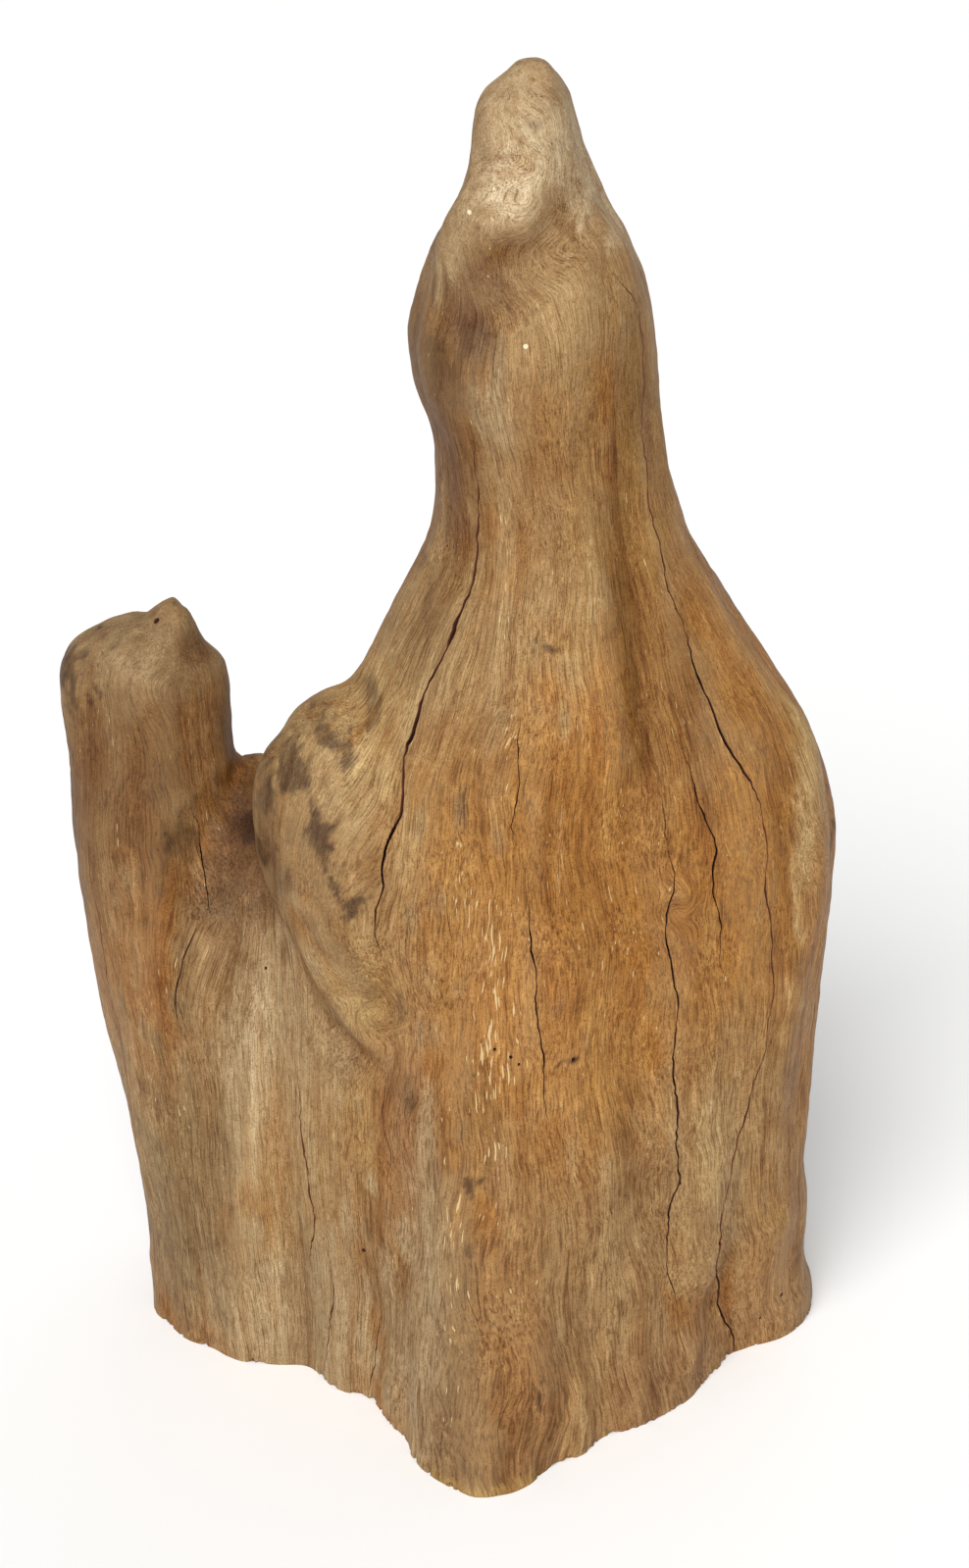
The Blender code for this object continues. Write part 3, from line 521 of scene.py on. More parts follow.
# Colours of the dry wood, linear
palette = {
    "pale": (0.57, 0.46, 0.3), "bone": (0.45, 0.345, 0.20), "ash": (0.37, 0.275, 0.155),
    "straw": (0.38, 0.25, 0.115), "sand": (0.41, 0.24, 0.1), "glow": (0.47, 0.245, 0.08),
    "tan": (0.32, 0.195, 0.085), "ochre": (0.33, 0.148, 0.03), "honey": (0.34, 0.19, 0.062),
    "amber": (0.31, 0.15, 0.046), "umber": (0.19, 0.1, 0.038), "bark": (0.155, 0.072, 0.024),
    "olive": (0.28, 0.15, 0.044), "moss": (0.225, 0.12, 0.034), "greyTan": (0.31, 0.225, 0.125),
    "plum": (0.15, 0.075, 0.038), "rose": (0.3, 0.163, 0.07), "brown": (0.14, 0.07, 0.029),
    "yellow": (0.42, 0.28, 0.09), "rust": (0.285, 0.128, 0.037),
    "wheat": (0.46, 0.305, 0.125), "oat": (0.52, 0.375, 0.18), "maple": (0.39, 0.205, 0.06),
    "copper": (0.29, 0.122, 0.018), "russet": (0.168, 0.072, 0.016), "drab": (0.215, 0.14, 0.062),
    "deep": (0.07, 0.031, 0.009),
    "cream": (0.53, 0.415, 0.26), "flame": (0.42, 0.19, 0.04), "ember": (0.36, 0.155, 0.024),
}

# A warm cast over the wood: it warms every colour a little
warmth = (1.035, 1.02, 0.975)

# The wood between the patches is of one colour, and others come and go over it in slow waves: colour,
# strength, where the sum of waves starts and ends to show it, seed, how many, length across and up
groundColour = "tan"
groundWaves = [
    ("ochre", 1.0, (-3, 3), 41, 9, (90, 220), (160, 420)),
    ("umber", 0.45, (-3, 3), 42, 9, (70, 160), (140, 400)),
    ("greyTan", 0.5, (1.0, 4.5), 43, 9, (50, 120), (120, 300)),
]

# Patches of colour, later ones over earlier ones, a few of them painted shade: seen from, centre, radii, lean
# in degrees, colour, strength
patches = {
    "rightSideHigh": (right, (0, 560), (34, 60), 0, "tan", 0.7),
    "neckRightEdge": (right, (-12, 598), (24, 32), 0, "sand", 0.7),
    "stripRightEdge": (right, (-14, 462), (18, 42), 0, "sand", 0.6),
    "sideKneeRightEdge": (30, (-103, 368), (16, 34), 0, "tan", 0.8),
    "rightSideMiddle": (right, (0, 330), (50, 90), 0, "ochre", 0.6),
    "rightSideLow": (right, (-10, 120), (60, 70), 0, "honey", 0.7),
    "rightSideGrey": (right, (70, 220), (18, 120), 4, "greyTan", 0.6),
    "napeBone": (back, (-14, 660), (34, 40), 0, "bone", 0.85),
    "napeBrown": (back, (-20, 540), (30, 50), 0, "umber", 0.6),
    "backTan": (back, (-20, 380), (50, 80), 0, "tan", 0.7),
    "backOchre": (back, (30, 220), (50, 90), 0, "ochre", 0.6),
    "backGrey": (back, (-70, 180), (24, 100), 0, "greyTan", 0.7),
    "backKnee": (back, (160, 300), (34, 80), 0, "amber", 0.6),
    "backKneeTop": (back, (166, 390), (36, 22), 0, "greyTan", 0.7),
    "backFoot": (back, (0, 40), (120, 30), 0, "umber", 0.5),
    "leftSideGrey": (left, (20, 260), (24, 110), 0, "greyTan", 0.6),
    "leftSideAmber": (left, (-20, 180), (24, 100), 0, "amber", 0.6),
    "leftSideTop": (left, (-36, 390), (40, 26), 0, "tan", 0.7),
    "leftSideNeck": (left, (0, 520), (30, 70), 0, "umber", 0.6),
    "chest": (front, (38, 330), (62, 130), 0, "ochre", 0.9),
    "chestGlow": (front, (36, 404), (18, 34), 0, "glow", 0.75),
    "rightBulge": (front, (125, 310), (48, 110), 0, "ochre", 0.85),
    "flank": (front, (129, 315), (13, 60), 0, "copper", 0.8),
    "flankRight": (front, (137, 318), (12, 60), 0, "ember", 0.85),
    "leftChest": (front, (-20, 320), (18, 58), 0, "maple", 0.8),
    "highFlank": (front, (130, 414), (14, 42), 20, "glow", 0.5),
    "middle": (front, (25, 210), (54, 84), 0, "amber", 0.6),
    "middleRight": (front, (62, 208), (20, 48), 0, "maple", 0.8),
    "fleckBand": (front, (4, 250), (8, 52), 0, "glow", 0.6),
    "fleckBandLow": (front, (2, 182), (9, 26), 0, "honey", 0.55),
    "middleGlow": (front, (29, 250), (14, 48), 0, "glow", 0.7),
    "chestMiddle": (front, (57, 340), (7, 32), 0, "maple", 0.7),
    "middleDark": (front, (4, 182), (7, 24), 0, "umber", 0.45),
    "lowerMiddle": (front, (46, 96), (52, 60), 0, "straw", 0.85),
    "lowest": (front, (66, 22), (62, 30), 0, "rose", 0.6),
    "lowestRim": (front, (46, 20), (16, 28), 0, "sand", 0.75),
    "lowestRight": (front, (50, 36), (10, 16), 0, "wheat", 0.5),
    "lowestTip": (front, (44, 12), (13, 16), 0, "oat", 0.5),
    "rightLow": (front, (120, 150), (30, 78), 0, "straw", 0.85),
    "rightLowPale": (front, (113, 160), (7, 30), 0, "oat", 0.4),
    "rightUpper": (front, (110, 256), (12, 40), 0, "maple", 0.8),
    "rightFoot": (front, (158, 36), (24, 40), 0, "sand", 0.7),
    "valleyFoot": (front, (88, 124), (8, 36), 0, "umber", 0.55),
    "rightEdge": (front, (172, 250), (12, 120), 0, "glow", 0.5),
    "rightStripe": (front, (160, 335), (6, 42), 0, "oat", 0.85),
    "rightStripeBehind": (right, (-22, 345), (9, 46), 0, "wheat", 0.8),
    "rightValley": (front, (77, 420), (12, 110), 4, "olive", 0.7),
    "valleyLow": (front, (84, 310), (9, 80), 8, "amber", 0.7),
    "belly": (front, (34, 582), (32, 28), 0, "straw", 0.9),
    "bellyRight": (front, (56, 542), (8, 32), 0, "copper", 0.8),
    "neck": (front, (-16, 510), (18, 66), 0, "bark", 0.85),
    "neckEdge": (front, (-24, 474), (7, 34), 0, "straw", 0.6),
    "neckOrange": (front, (30, 505), (16, 56), 0, "tan", 0.8),
    "bellyLow": (front, (34, 541), (14, 13), 0, "honey", 0.7),
    "neckStreak": (front, (9, 510), (6, 50), 2, "tan", 0.8),
    "valleyUp": (front, (69, 530), (7, 60), -3, "moss", 0.8),
    "rightStrip": (front, (84, 510), (8, 64), -4, "honey", 0.8),
    "stripRight": (front, (96, 468), (7, 40), -14, "sand", 0.6),
    "checkShade": (front, (98, 412), (9, 44), 16, "russet", 0.7),
    "valleyPale": (front, (84, 388), (4, 26), 8, "honey", 0.6),
    "besideValley": (front, (104, 372), (7, 26), 0, "umber", 0.35),
    "chestKeel": (front, (49, 458), (7, 40), -6, "oat", 0.8),
    "keelLow": (front, (59, 394), (7, 26), 0, "flame", 0.75),
    "keelHigh": (front, (45, 508), (7, 28), -4, "honey", 0.7),
    "keelMiddle": (front, (55, 476), (7, 20), 0, "olive", 0.6),
    "chestRightBrown": (front, (64, 384), (8, 20), 0, "copper", 0.4),
    "neckAmber": (front, (30, 531), (10, 20), 0, "amber", 0.45),
    "leftFlankDark": (front, (-45, 423), (7, 14), 0, "drab", 0.5),
    "besideLeftCheck": (front, (-27, 436), (5, 18), 0, "straw", 0.4),
    "middleOchre": (front, (32, 237), (16, 28), 0, "ochre", 0.35),
    "rightOchre": (front, (127, 359), (12, 20), 0, "ochre", 0.35),
    "upperChest": (front, (-2, 428), (34, 38), 0, "straw", 0.8),
    "neckFront": (front, (32, 455), (12, 26), 0, "straw", 0.6),
    "besideCheck": (front, (-24, 428), (7, 24), -20, "umber", 0.5),
    "head": (front, (16, 676), (30, 28), 0, "cream", 0.85),
    "headSideRight": (front, (42, 664), (8, 28), 10, "cream", 0.7),
    "headRightEdge": (right, (-5, 648), (22, 28), 0, "cream", 0.8),
    "knob": (front, (15, 647), (23, 16), 46, "pale", 0.95),
    "headShine": (front, (31, 668), (9, 12), 0, "pale", 0.5),
    # painted shade in the crease under the head knob, and on the knob's shaded right side
    "paintedShadeUnderKnob": (front, (4, 619), (14, 8), 20, "russet", 0.9),
    "paintedShadeRightOfKnob": (front, (30, 638), (10, 8), 30, "umber", 0.55),
    "paleStreakRight": (front, (50, 642), (2.4, 22), -22, "pale", 0.65),
    "paleShoulder": (front, (62, 624), (4, 12), -30, "pale", 0.7),
    "paleStreakLeft": (front, (-18, 606), (6, 16), -18, "bone", 0.75),
    "neckStain": (front, (-6, 583), (12, 24), 6, "plum", 0.9),
    "brow": (front, (3, 597), (12, 8), 0, "umber", 0.7),
    "neckPale": (front, (4, 546), (7, 24), 0, "ash", 0.8),
    "neckLeftAmber": (front, (-22, 552), (8, 28), 0, "bark", 0.95),
    "neckLeftSpot": (front, (-22, 566), (8, 11), 0, "deep", 0.7),
    "neckLeftEdge": (left, (4, 568), (26, 24), 0, "bark", 0.8),
    "leftFlank": (front, (-44, 416), (22, 44), 30, "greyTan", 0.4),
    "shoulder": (front, (-72, 340), (38, 42), 0, "tan", 0.85),
    "shoulderGlow": (front, (-61, 360), (14, 20), 0, "oat", 0.8),
    "shoulderMiddle": (front, (-78, 342), (16, 24), 0, "umber", 0.3),
    "shoulderTop": (front, (-60, 392), (26, 14), 40, "oat", 0.75),
    "shoulderTopLeft": (front, (-98, 366), (12, 12), 0, "oat", 0.7),
    "shoulderRim": (front, (-106, 330), (7, 34), 0, "umber", 0.6),
    "shoulderLow": (front, (-80, 314), (10, 18), 20, "umber", 0.6),
    "shoulderRight": (front, (-44, 336), (8, 24), 10, "oat", 0.55),
    "swirl": (front, (-58, 250), (18, 30), 30, "wheat", 0.8),
    "swirlDark": (front, (-70, 272), (7, 26), 34, "umber", 0.75),
    "roseZone": (front, (-38, 175), (14, 70), 0, "rose", 0.85),
    "besideRoseZone": (front, (-62, 168), (7, 24), 0, "wheat", 0.55),
    "fanPale": (front, (-108, 205), (17, 80), 0, "bone", 0.85),
    "fanTop": (front, (-101, 255), (8, 34), 0, "bone", 0.5),
    "fanGrey": (front, (-134, 180), (14, 80), -6, "greyTan", 0.75),
    "fanStripe": (front, (-131, 175), (7, 62), -4, "ash", 0.8),
    "fanLine": (front, (-120, 172), (2.4, 58), -2, "cream", 0.75),
    "fanShade": (front, (-143, 130), (6, 60), -4, "drab", 0.6),
    "skirtOrange": (front, (-108, 118), (9, 64), 0, "sand", 0.85),
    "skirtOrangeRight": (front, (-85, 140), (9, 60), 0, "straw", 0.6),
    "skirtLow": (front, (-86, 50), (26, 56), 0, "ash", 0.9),
    "skirtPale": (front, (-104, 80), (7, 22), 0, "bone", 0.6),
    "skirtPaleHigh": (front, (-104, 94), (8, 34), 0, "oat", 0.55),
    "skirtFoot": (front, (-112, 14), (52, 24), 0, "ash", 0.75),
    "skirtMiddle": (front, (-46, 44), (9, 44), 0, "ash", 0.7),
    "skirtLeft": (front, (-126, 44), (34, 32), 0, "bone", 0.6),
    "webMottled": (front, (-130, 284), (18, 26), 0, "brown", 0.65),
    # painted shade in the deep hollow at the top of the web
    "paintedShadeInWebHollow": (front, (-119, 312), (15, 15), 10, "deep", 0.9),
    "sideKneeTop": (front, (-176, 394), (42, 20), 0, "greyTan", 0.85),
    "sideKneeMiddle": (front, (-174, 334), (34, 44), 0, "bark", 0.95),
    "sideKneeRight": (front, (-146, 350), (10, 32), 0, "rose", 0.8),
    "sideKneeShade": (front, (-152, 300), (8, 24), 0, "tan", 0.6),
    "sideKneeShadow": (front, (-161, 372), (7, 18), 0, "bark", 0.3),
    "sideKneeShadowLow": (front, (-168, 304), (7, 26), 0, "bark", 0.7),
    "sideKneeTip": (front, (-148, 394), (9, 13), 0, "umber", 0.8),
    "sideKneeLow": (front, (-174, 218), (26, 58), 0, "rust", 0.8),
    "kneeToWeb": (front, (-145, 215), (10, 70), 0, "tan", 0.7),
    "besideKneeCheck": (front, (-155, 240), (7, 48), 0, "drab", 0.6),
    "webShade": (front, (-133, 254), (10, 24), 0, "umber", 0.6),
    "sideKneeEdge": (left, (-20, 325), (50, 66), 0, "bark", 0.8),
    "sideKneeEdgeLow": (left, (-20, 165), (40, 50), 0, "ash", 0.5),
    "sideKneeEdgeFoot": (left, (-6, 70), (46, 60), 0, "greyTan", 0.6),
    "sideKneeFoot": (front, (-160, 92), (22, 76), 0, "drab", 0.85),
    "footRust": (front, (-150, 10), (12, 8), 0, "rust", 0.3),
    "ribLeft": (front, (-27, 104), (11, 76), 0, "ash", 0.85),
    "ribEdge": (front, (-9, 86), (8, 96), 0, "umber", 0.75),
    "ribEdgeLow": (front, (-12, 56), (7, 42), 0, "brown", 0.5),
    "ribRight": (front, (20, 60), (18, 66), 0, "rust", 0.65),
    "ribFoot": (front, (-19, 26), (10, 34), 0, "umber", 0.55),
    "ribFootRight": (front, (10, 18), (22, 18), 0, "umber", 0.35),
    "valleyFlank": (front, (116, 44), (9, 26), 0, "sand", 0.55),
    "yellowRim": (front, (6, 2), (30, 4), 0, "yellow", 0.5),
    "headDarkLeft": (front, (-2, 668), (5, 12), 10, "brown", 0.6),
    "headDarkRight": (front, (33, 684), (6, 7), 30, "plum", 0.45),
}

# How a patch falls off from its centre, how far round the side it reaches, and how its edge wavers over
# the skin and along the fibres: seed, how many waves, length across and up
patchStyle = {
    "power": 3, "fall": 0.7, "facing": (-0.05, 0.45), "fromAbove": 0.35,
    "skinWaver": (44, 14, (12, 40), (20, 90)), "skinWaverHeight": 0.05,
    "fibreWaver": (45, 12, (5, 13), (70, 220)), "fibreWaverHeight": 0.06,
}

# Grey-black stains: seen from, centre, radii, lean, strength
stains = [
    (front, (-74, 375), (11, 4), -15, 0.8), (front, (-67, 369), (5, 6), 0, 0.7),
    (front, (-93, 360), (8, 10), -30, 0.9), (front, (-108, 345), (4, 15), 0, 0.7),
    (front, (-81, 337), (5, 11), 8, 0.95), (front, (-75, 314), (2.2, 15), 22, 0.75),
    (front, (-65, 301), (5, 6), 0, 0.9), (front, (-55, 392), (5, 9), 0, 0.6),
    (front, (-26, 448), (7, 18), 0, 0.4), (front, (31, 432), (4, 3), 0, 0.8),
    (front, (-8, 580), (11, 22), 0, 0.38), (front, (-204, 394), (10, 2.4), 30, 0.65),
    (front, (-209, 378), (3, 16), 0, 0.7), (front, (-120, 306), (11, 8), 10, 0.75),
    (front, (-8, 160), (3, 5), 0, 0.8), (front, (-8, 128), (3, 4), 0, 0.7),
    (front, (-42, 250), (4, 12), 0, 0.5),
    (front, (-134, 275), (14, 22), 0, 0.4), (front, (44, 566), (9, 10), 0, 0.3),
    (front, (-38, 196), (6, 16), 0, 0.5), (front, (-66, 268), (4, 14), 34, 0.4),
    (front, (24, 436), (3, 2), 0, 0.6), (front, (28, 44), (2, 7), 0, 0.8), (front, (44, 224), (3, 2.4), 0, 0.9),
    (front, (22, 672), (6, 4), 0, 0.5), (front, (172, 40), (6, 20), 0, 0.4),
    (right, (20, 470), (14, 24), 0, 0.6), (right, (-10, 300), (16, 10), 0, 0.6),
    (back, (-40, 470), (16, 20), 0, 0.7), (back, (60, 300), (18, 14), 0, 0.7),
    (back, (150, 370), (16, 12), 0, 0.8), (left, (-30, 380), (18, 12), 0, 0.8),
    (left, (20, 330), (12, 20), 0, 0.5),
]
# Where the fibres are short and curly, beside the whole head
curlyPlaces = [
    (front, (-70, 345), (34, 40), 0, 0.7), (front, (-165, 385), (40, 30), 0, 0.6),
    (front, (-60, 250), (16, 22), 30, 0.9), (back, (150, 380), (40, 30), 0, 0.6),
]
# Where pale flecks lie along the fibres
flecks = [
    (front, (3, 290), (7, 26), 0, 0.9), (front, (4, 225), (10, 50), 0, 1.0),
    (front, (-10, 310), (6, 22), 0, 0.8), (front, (12, 388), (4, 14), 0, 0.9),
    (front, (-14, 120), (6, 60), 0, 0.7),
    (front, (2, 160), (10, 50), 0, 0.5), (front, (10, 480), (5, 40), 0, 0.5),
    (front, (60, 300), (30, 80), 0, 0.25), (back, (10, 260), (12, 50), 0, 0.8),
    (right, (-30, 260), (10, 40), 0, 0.7), (left, (20, 160), (8, 40), 0, 0.35),
]
spotStyle = {
    "stainSeed": 51, "fleckSeed": 52, "curlySeed": 53,
    "waver": 0.10, "waveCount": 14, "across": (6, 20), "up": (6, 30),
    "curlyHead": (606, 640), "curlyPlaces": 0.6,  # the head is curly between these heights, the places less so
}

# Dots of pale filler: centre on the skin and radius
paleDots = [((19, -59, 577), 1.4), ((-7, -36, 634), 1.2)]


# A patch's weight: a bell curve of the distance from its centre in units of its radii, with a wavering
# edge, on the side of the wood that faces an eye a little above it
def patchWeight(points, normals, waver, seenFrom, centre, radii, lean):
    across, outward = sideAxes(seenFrom)
    turn = math.radians(lean)
    fromX, fromZ = points @ across - centre[0], points[:, 2] - centre[1]
    alongX = fromX * math.cos(turn) + fromZ * math.sin(turn)
    alongZ = -fromX * math.sin(turn) + fromZ * math.cos(turn)
    distance = np.hypot(alongX / radii[0], alongZ / radii[1]) * (1 + waver)
    facing = normals @ outward + patchStyle["fromAbove"] * normals[:, 2]
    return (np.exp(-distance ** patchStyle["power"] * patchStyle["fall"])
            * smoothStep(*patchStyle["facing"], facing))


# The wood's colour at each point, with the painted shade of some patches: the ground, then each patch laid over
# what is there by its weight
def woodTint(points, normals, grain):
    tint = np.array(palette[groundColour])
    for name, strength, (low, high), *wave in groundWaves:
        weight = smoothStep(low, high, waves(points, *wave))[:, None] * strength
        tint = tint * (1 - weight) + np.array(palette[name]) * weight
    waver = (patchStyle["skinWaverHeight"] * waves(points, *patchStyle["skinWaver"])
             + patchStyle["fibreWaverHeight"] * waves(grain, *patchStyle["fibreWaver"]))
    for seenFrom, centre, radii, lean, name, strength in patches.values():
        weight = patchWeight(points, normals, waver, seenFrom, centre, radii, lean)[:, None] * strength
        tint = tint * (1 - weight) + np.array(palette[name]) * weight
    return tint * warmth


# How strongly any of the spots marks each point: the greatest of their weights
def spotMask(points, normals, spots, seed):
    s = spotStyle
    waver = s["waver"] * waves(points, seed, s["waveCount"], s["across"], s["up"])
    mask = np.zeros(len(points))
    for seenFrom, centre, radii, lean, strength in spots:
        mask = np.maximum(mask, patchWeight(points, normals, waver, seenFrom, centre, radii, lean) * strength)
    return mask


# How far each point lies under the skin's smoothed form, in mm: each step keeps 0.4 of a point's place and
# takes 0.6 of the mean of its neighbours'
def hollowness(mesh, points, normals, steps):
    edges = np.empty(len(mesh.edges) * 2, np.int64)
    mesh.edges.foreach_get("vertices", edges)
    a, b = edges.reshape(-1, 2).T
    neighbours = np.maximum(np.bincount(np.concatenate([a, b]), minlength=len(points)), 1)[:, None]
    smooth = points.copy()
    for _ in range(steps):
        summed = np.column_stack([np.bincount(a, smooth[b, k], len(points))
                                  + np.bincount(b, smooth[a, k], len(points)) for k in range(3)])
        smooth = 0.4 * smooth + 0.6 * summed / neighbours
    return ((smooth - points) * normals).sum(1)


# Points at an even spacing along a route, thrown a little to each side by chance and by a slow sine
def evenPoints(route, rng):
    lengths = np.linalg.norm(np.diff(route, axis=0), axis=1)
    walked = np.concatenate([[0], np.cumsum(lengths)])
    at = np.linspace(0, walked[-1], max(6, round(walked[-1] / crackStyle["spacing"])))
    points = np.column_stack([np.interp(at, walked, route[:, 0]), np.interp(at, walked, route[:, 1])])
    points[1:-1] = (points[:-2] + 2 * points[1:-1] + points[2:]) / 4
    jitter = rng.normal(size=len(at)) * crackStyle["jitter"]
    sway = crackStyle["sway"] * np.sin(at / crackStyle["swayLength"] + rng.uniform(0, 6))
    points[:, 0] += crackStyle["wobble"] * (jitter + sway)
    return points


# A wedge along a crack's route: its mouth lies just off the skin, and its edge goes in against the skin's
# normal.  Its width and depth follow a ragged sine to the power of 0.7, so that it closes at its ends.
def crackWedge(name, surface, rng, seenFrom, width, depth, route):
    across, outward = sideAxes(seenFrom)
    lines = evenPoints(np.array(route, float), rng)
    starts = lines[:, :1] * across + lines[:, 1:] * np.array([0, 0, 1]) + crackStyle["castFrom"] * outward
    hits = [surface.ray_cast(Vector(start * mm), Vector(-outward)) for start in starts]
    hits = [hit for hit in hits if hit[0] is not None]
    places = np.array([hit[0] for hit in hits]) / mm
    normals = np.array([hit[1] for hit in hits])
    for _ in range(3):  # the normals are smoothed along the route, so that the wedge doesn't twist
        normals[1:-1] = normals[:-2] + 2 * normals[1:-1] + normals[2:]
        normals /= np.linalg.norm(normals, axis=1)[:, None]
    sideways = np.cross(np.gradient(places, axis=0), normals)
    sideways /= np.linalg.norm(sideways, axis=1)[:, None]
    along = np.linspace(0, 1, len(places))
    ragged = 1 + crackStyle["ragged"] * np.convolve(rng.normal(size=len(along)), [0.5, 1, 0.5], "same")
    least, shallow = crackStyle["leastOpening"], crackStyle["leastDepth"]
    opening = (least + (1 - least) * np.sin(math.pi * along).clip(0) ** 0.7 * ragged.clip(0.5, 1.5))[:, None]
    reach = shallow + (depth - shallow) * opening
    mouth = places + normals * crackStyle["lift"]
    halfMouth = sideways * width / 2 * opening * (reach + crackStyle["lift"]) / reach
    rings = np.stack([mouth - halfMouth, mouth + halfMouth, places - normals * reach], axis=1)
    return meshFromRings(name, rings, True)


# A tapered peg over (depth, turn), driven in against the skin's normal
def pinholePeg(name, surface, seenFrom, place, diameter):
    across, outward = sideAxes(seenFrom)
    start = place[0] * across + place[1] * np.array([0, 0, 1.0]) + crackStyle["castFrom"] * outward
    hit = surface.ray_cast(Vector(start * mm), Vector(-outward))
    spot, inward = np.array(hit[0]) / mm, -np.array(hit[1])
    sideways = np.cross(inward, [0, 0, 1.0])
    sideways /= np.linalg.norm(sideways)
    upward = np.cross(sideways, inward)
    turn = np.linspace(0, 2 * math.pi, pegShape["sides"], endpoint=False)[:, None]
    circle = sideways * np.cos(turn) + upward * np.sin(turn) * pegShape["tall"]
    depths, radii = np.array(pegShape["depths"]), np.array(pegShape["radii"]) * diameter
    return meshFromRings(name, spot + depths[:, None, None] * inward + radii[:, None, None] * circle, True)


# A chip over (latitude, longitude): a small uneven ball, set where the skin meets the saw cut
def rimChip(name, spot, outward, rng):
    length, reach, height = (rng.uniform(*rimChips[key]) for key in ("length", "reach", "height"))
    rows, sides, end = rimChips["rows"], rimChips["sides"], rimChips["rowEnd"]
    latitude = np.radians(np.linspace(-end, end, rows))[:, None]
    longitude = np.linspace(0, 2 * math.pi, sides, endpoint=False) + rng.uniform(0, 1)
    bumpy = 1 + rimChips["bumps"] * rng.normal(size=(rows, sides)).clip(-1.5, 1.5)
    along = length / 2 * np.cos(latitude) * np.cos(longitude) * bumpy
    inOut = reach * np.cos(latitude) * np.sin(longitude) * bumpy
    up = height * np.sin(latitude) * np.ones(sides) * bumpy
    tangent = np.array([-outward[1], outward[0], 0])
    rings = along[..., None] * tangent + inOut[..., None] * outward + up[..., None] * np.array([0, 0, 1.0])
    return meshFromRings(name, rings + spot, True)


# A Boolean that takes a collection of cutters away from the wood
def cutWith(wood, cutters, name):
    cut = wood.modifiers.new(name, "BOOLEAN")
    cut.operation, cut.solver = "DIFFERENCE", "MANIFOLD"
    cut.operand_type, cut.collection = "COLLECTION", cutters


# A mesh as a cutter: the faces that it leaves behind take the slot's material
def asCutter(mesh, collection, slotNumber):
    mesh.materials.clear()
    for material in slotMaterials:
        mesh.materials.append(material)
    mesh.polygons.foreach_set("material_index", np.full(len(mesh.polygons), slotNumber, np.int32))
    return newObject(mesh.name, mesh, collection)


# Where the skin meets the saw cut: the ends of rays cast inwards from all round, just above the cut
def rimSpots(surface, count, rng):
    heart = np.array(rimChips["heart"])
    spots = []
    for turn in np.sort(rng.uniform(0, 2 * math.pi, count)):
        outward = np.array([math.cos(turn), math.sin(turn), 0.0])
        hit = surface.ray_cast(Vector((heart + outward * rimChips["castFrom"]) * mm), Vector(-outward))
        if hit[0] is not None:
            normal = np.array(hit[1]) * (1, 1, 0)
            spots.append((np.array(hit[0]) / mm * (1, 1, 0), normal / np.linalg.norm(normal)))
    return spots


# The knee: fused, folded along its normals, sawn, and cut by its cracks, pinholes and chips
def buildKnee(workshop):
    mesh = fuseLimbs(workshop)
    print("cypress knee: limbs fused,", len(mesh.polygons), "faces")
    points, normals = readPoints(mesh), readNormals(mesh)
    lift = foldHeight(points, normals)
    for seed, height, count, acrossLength, upLength in reliefWaves.values():
        lift += height * waves(points, seed, count, acrossLength, upLength)
    mesh.vertices.foreach_set("co", ((points + normals * lift[:, None]) * mm).ravel())
    mesh.update()
    mesh.materials.clear()
    for material in slotMaterials:
        mesh.materials.append(material)
    wood = newObject("worked skin", mesh, workshop)
    bpy.context.view_layer.update()
    surface = BVHTree.FromObject(wood, bpy.context.evaluated_depsgraph_get())

    saw = newCollection("saw")
    square = sawBlock["halfWidth"] * np.array([(-1, -1), (1, -1), (1, 1), (-1, 1)])
    rings = np.stack([np.column_stack([square, np.full(4, z)]) for z in (-sawBlock["depth"], 0.0)])
    asCutter(meshFromRings("saw cut", rings), saw, sawnSlot)
    cutWith(wood, saw, "saw cut")

    rng = np.random.default_rng(crackStyle["seed"])
    cutters = newCollection("cutters")
    for name, crack in cracks.items():
        asCutter(crackWedge(name, surface, rng, *crack), cutters, crackSlot)
    for number, (seenFrom, place, diameter) in enumerate(pinholes):
        asCutter(pinholePeg("pinhole%d" % number, surface, seenFrom, place, diameter), cutters, crackSlot)
    rng = np.random.default_rng(rimChips["seed"])
    for number, (spot, outward) in enumerate(rimSpots(surface, rimChips["count"], rng)):
        asCutter(rimChip("chip%d" % number, spot, outward, rng), cutters, skinSlot)
    cutWith(wood, cutters, "cracks, pinholes and chips")
    knee = evaluatedMesh(wood)
    for collection in (saw, cutters):
        for made in list(collection.objects):
            bpy.data.objects.remove(made)
        bpy.data.collections.remove(collection)
    bpy.data.objects.remove(wood)
    print("cypress knee: cracks and chips cut,", len(knee.polygons), "faces")
    return knee


# The skin's own normals, with the walls of the cuts left out: area-weighted, from each polygon's normal
def skinNormals(mesh, slotOfFace):
    count = len(mesh.polygons)
    normal = np.empty(count * 3)
    mesh.polygons.foreach_get("normal", normal)
    area = np.empty(count)
    mesh.polygons.foreach_get("area", area)
    loopVertex = np.empty(len(mesh.loops), np.int64)
    mesh.loops.foreach_get("vertex_index", loopVertex)
    total = np.empty(count, np.int64)
    mesh.polygons.foreach_get("loop_total", total)
    weighted = normal.reshape(-1, 3) * (area * np.where(slotOfFace == skinSlot, 1, 1e-6))[:, None]
    perLoop = np.repeat(weighted, total, axis=0)
    summed = np.column_stack([np.bincount(loopVertex, perLoop[:, k], len(mesh.vertices)) for k in range(3)])
    return summed / np.maximum(np.linalg.norm(summed, axis=1), 1e-12)[:, None]


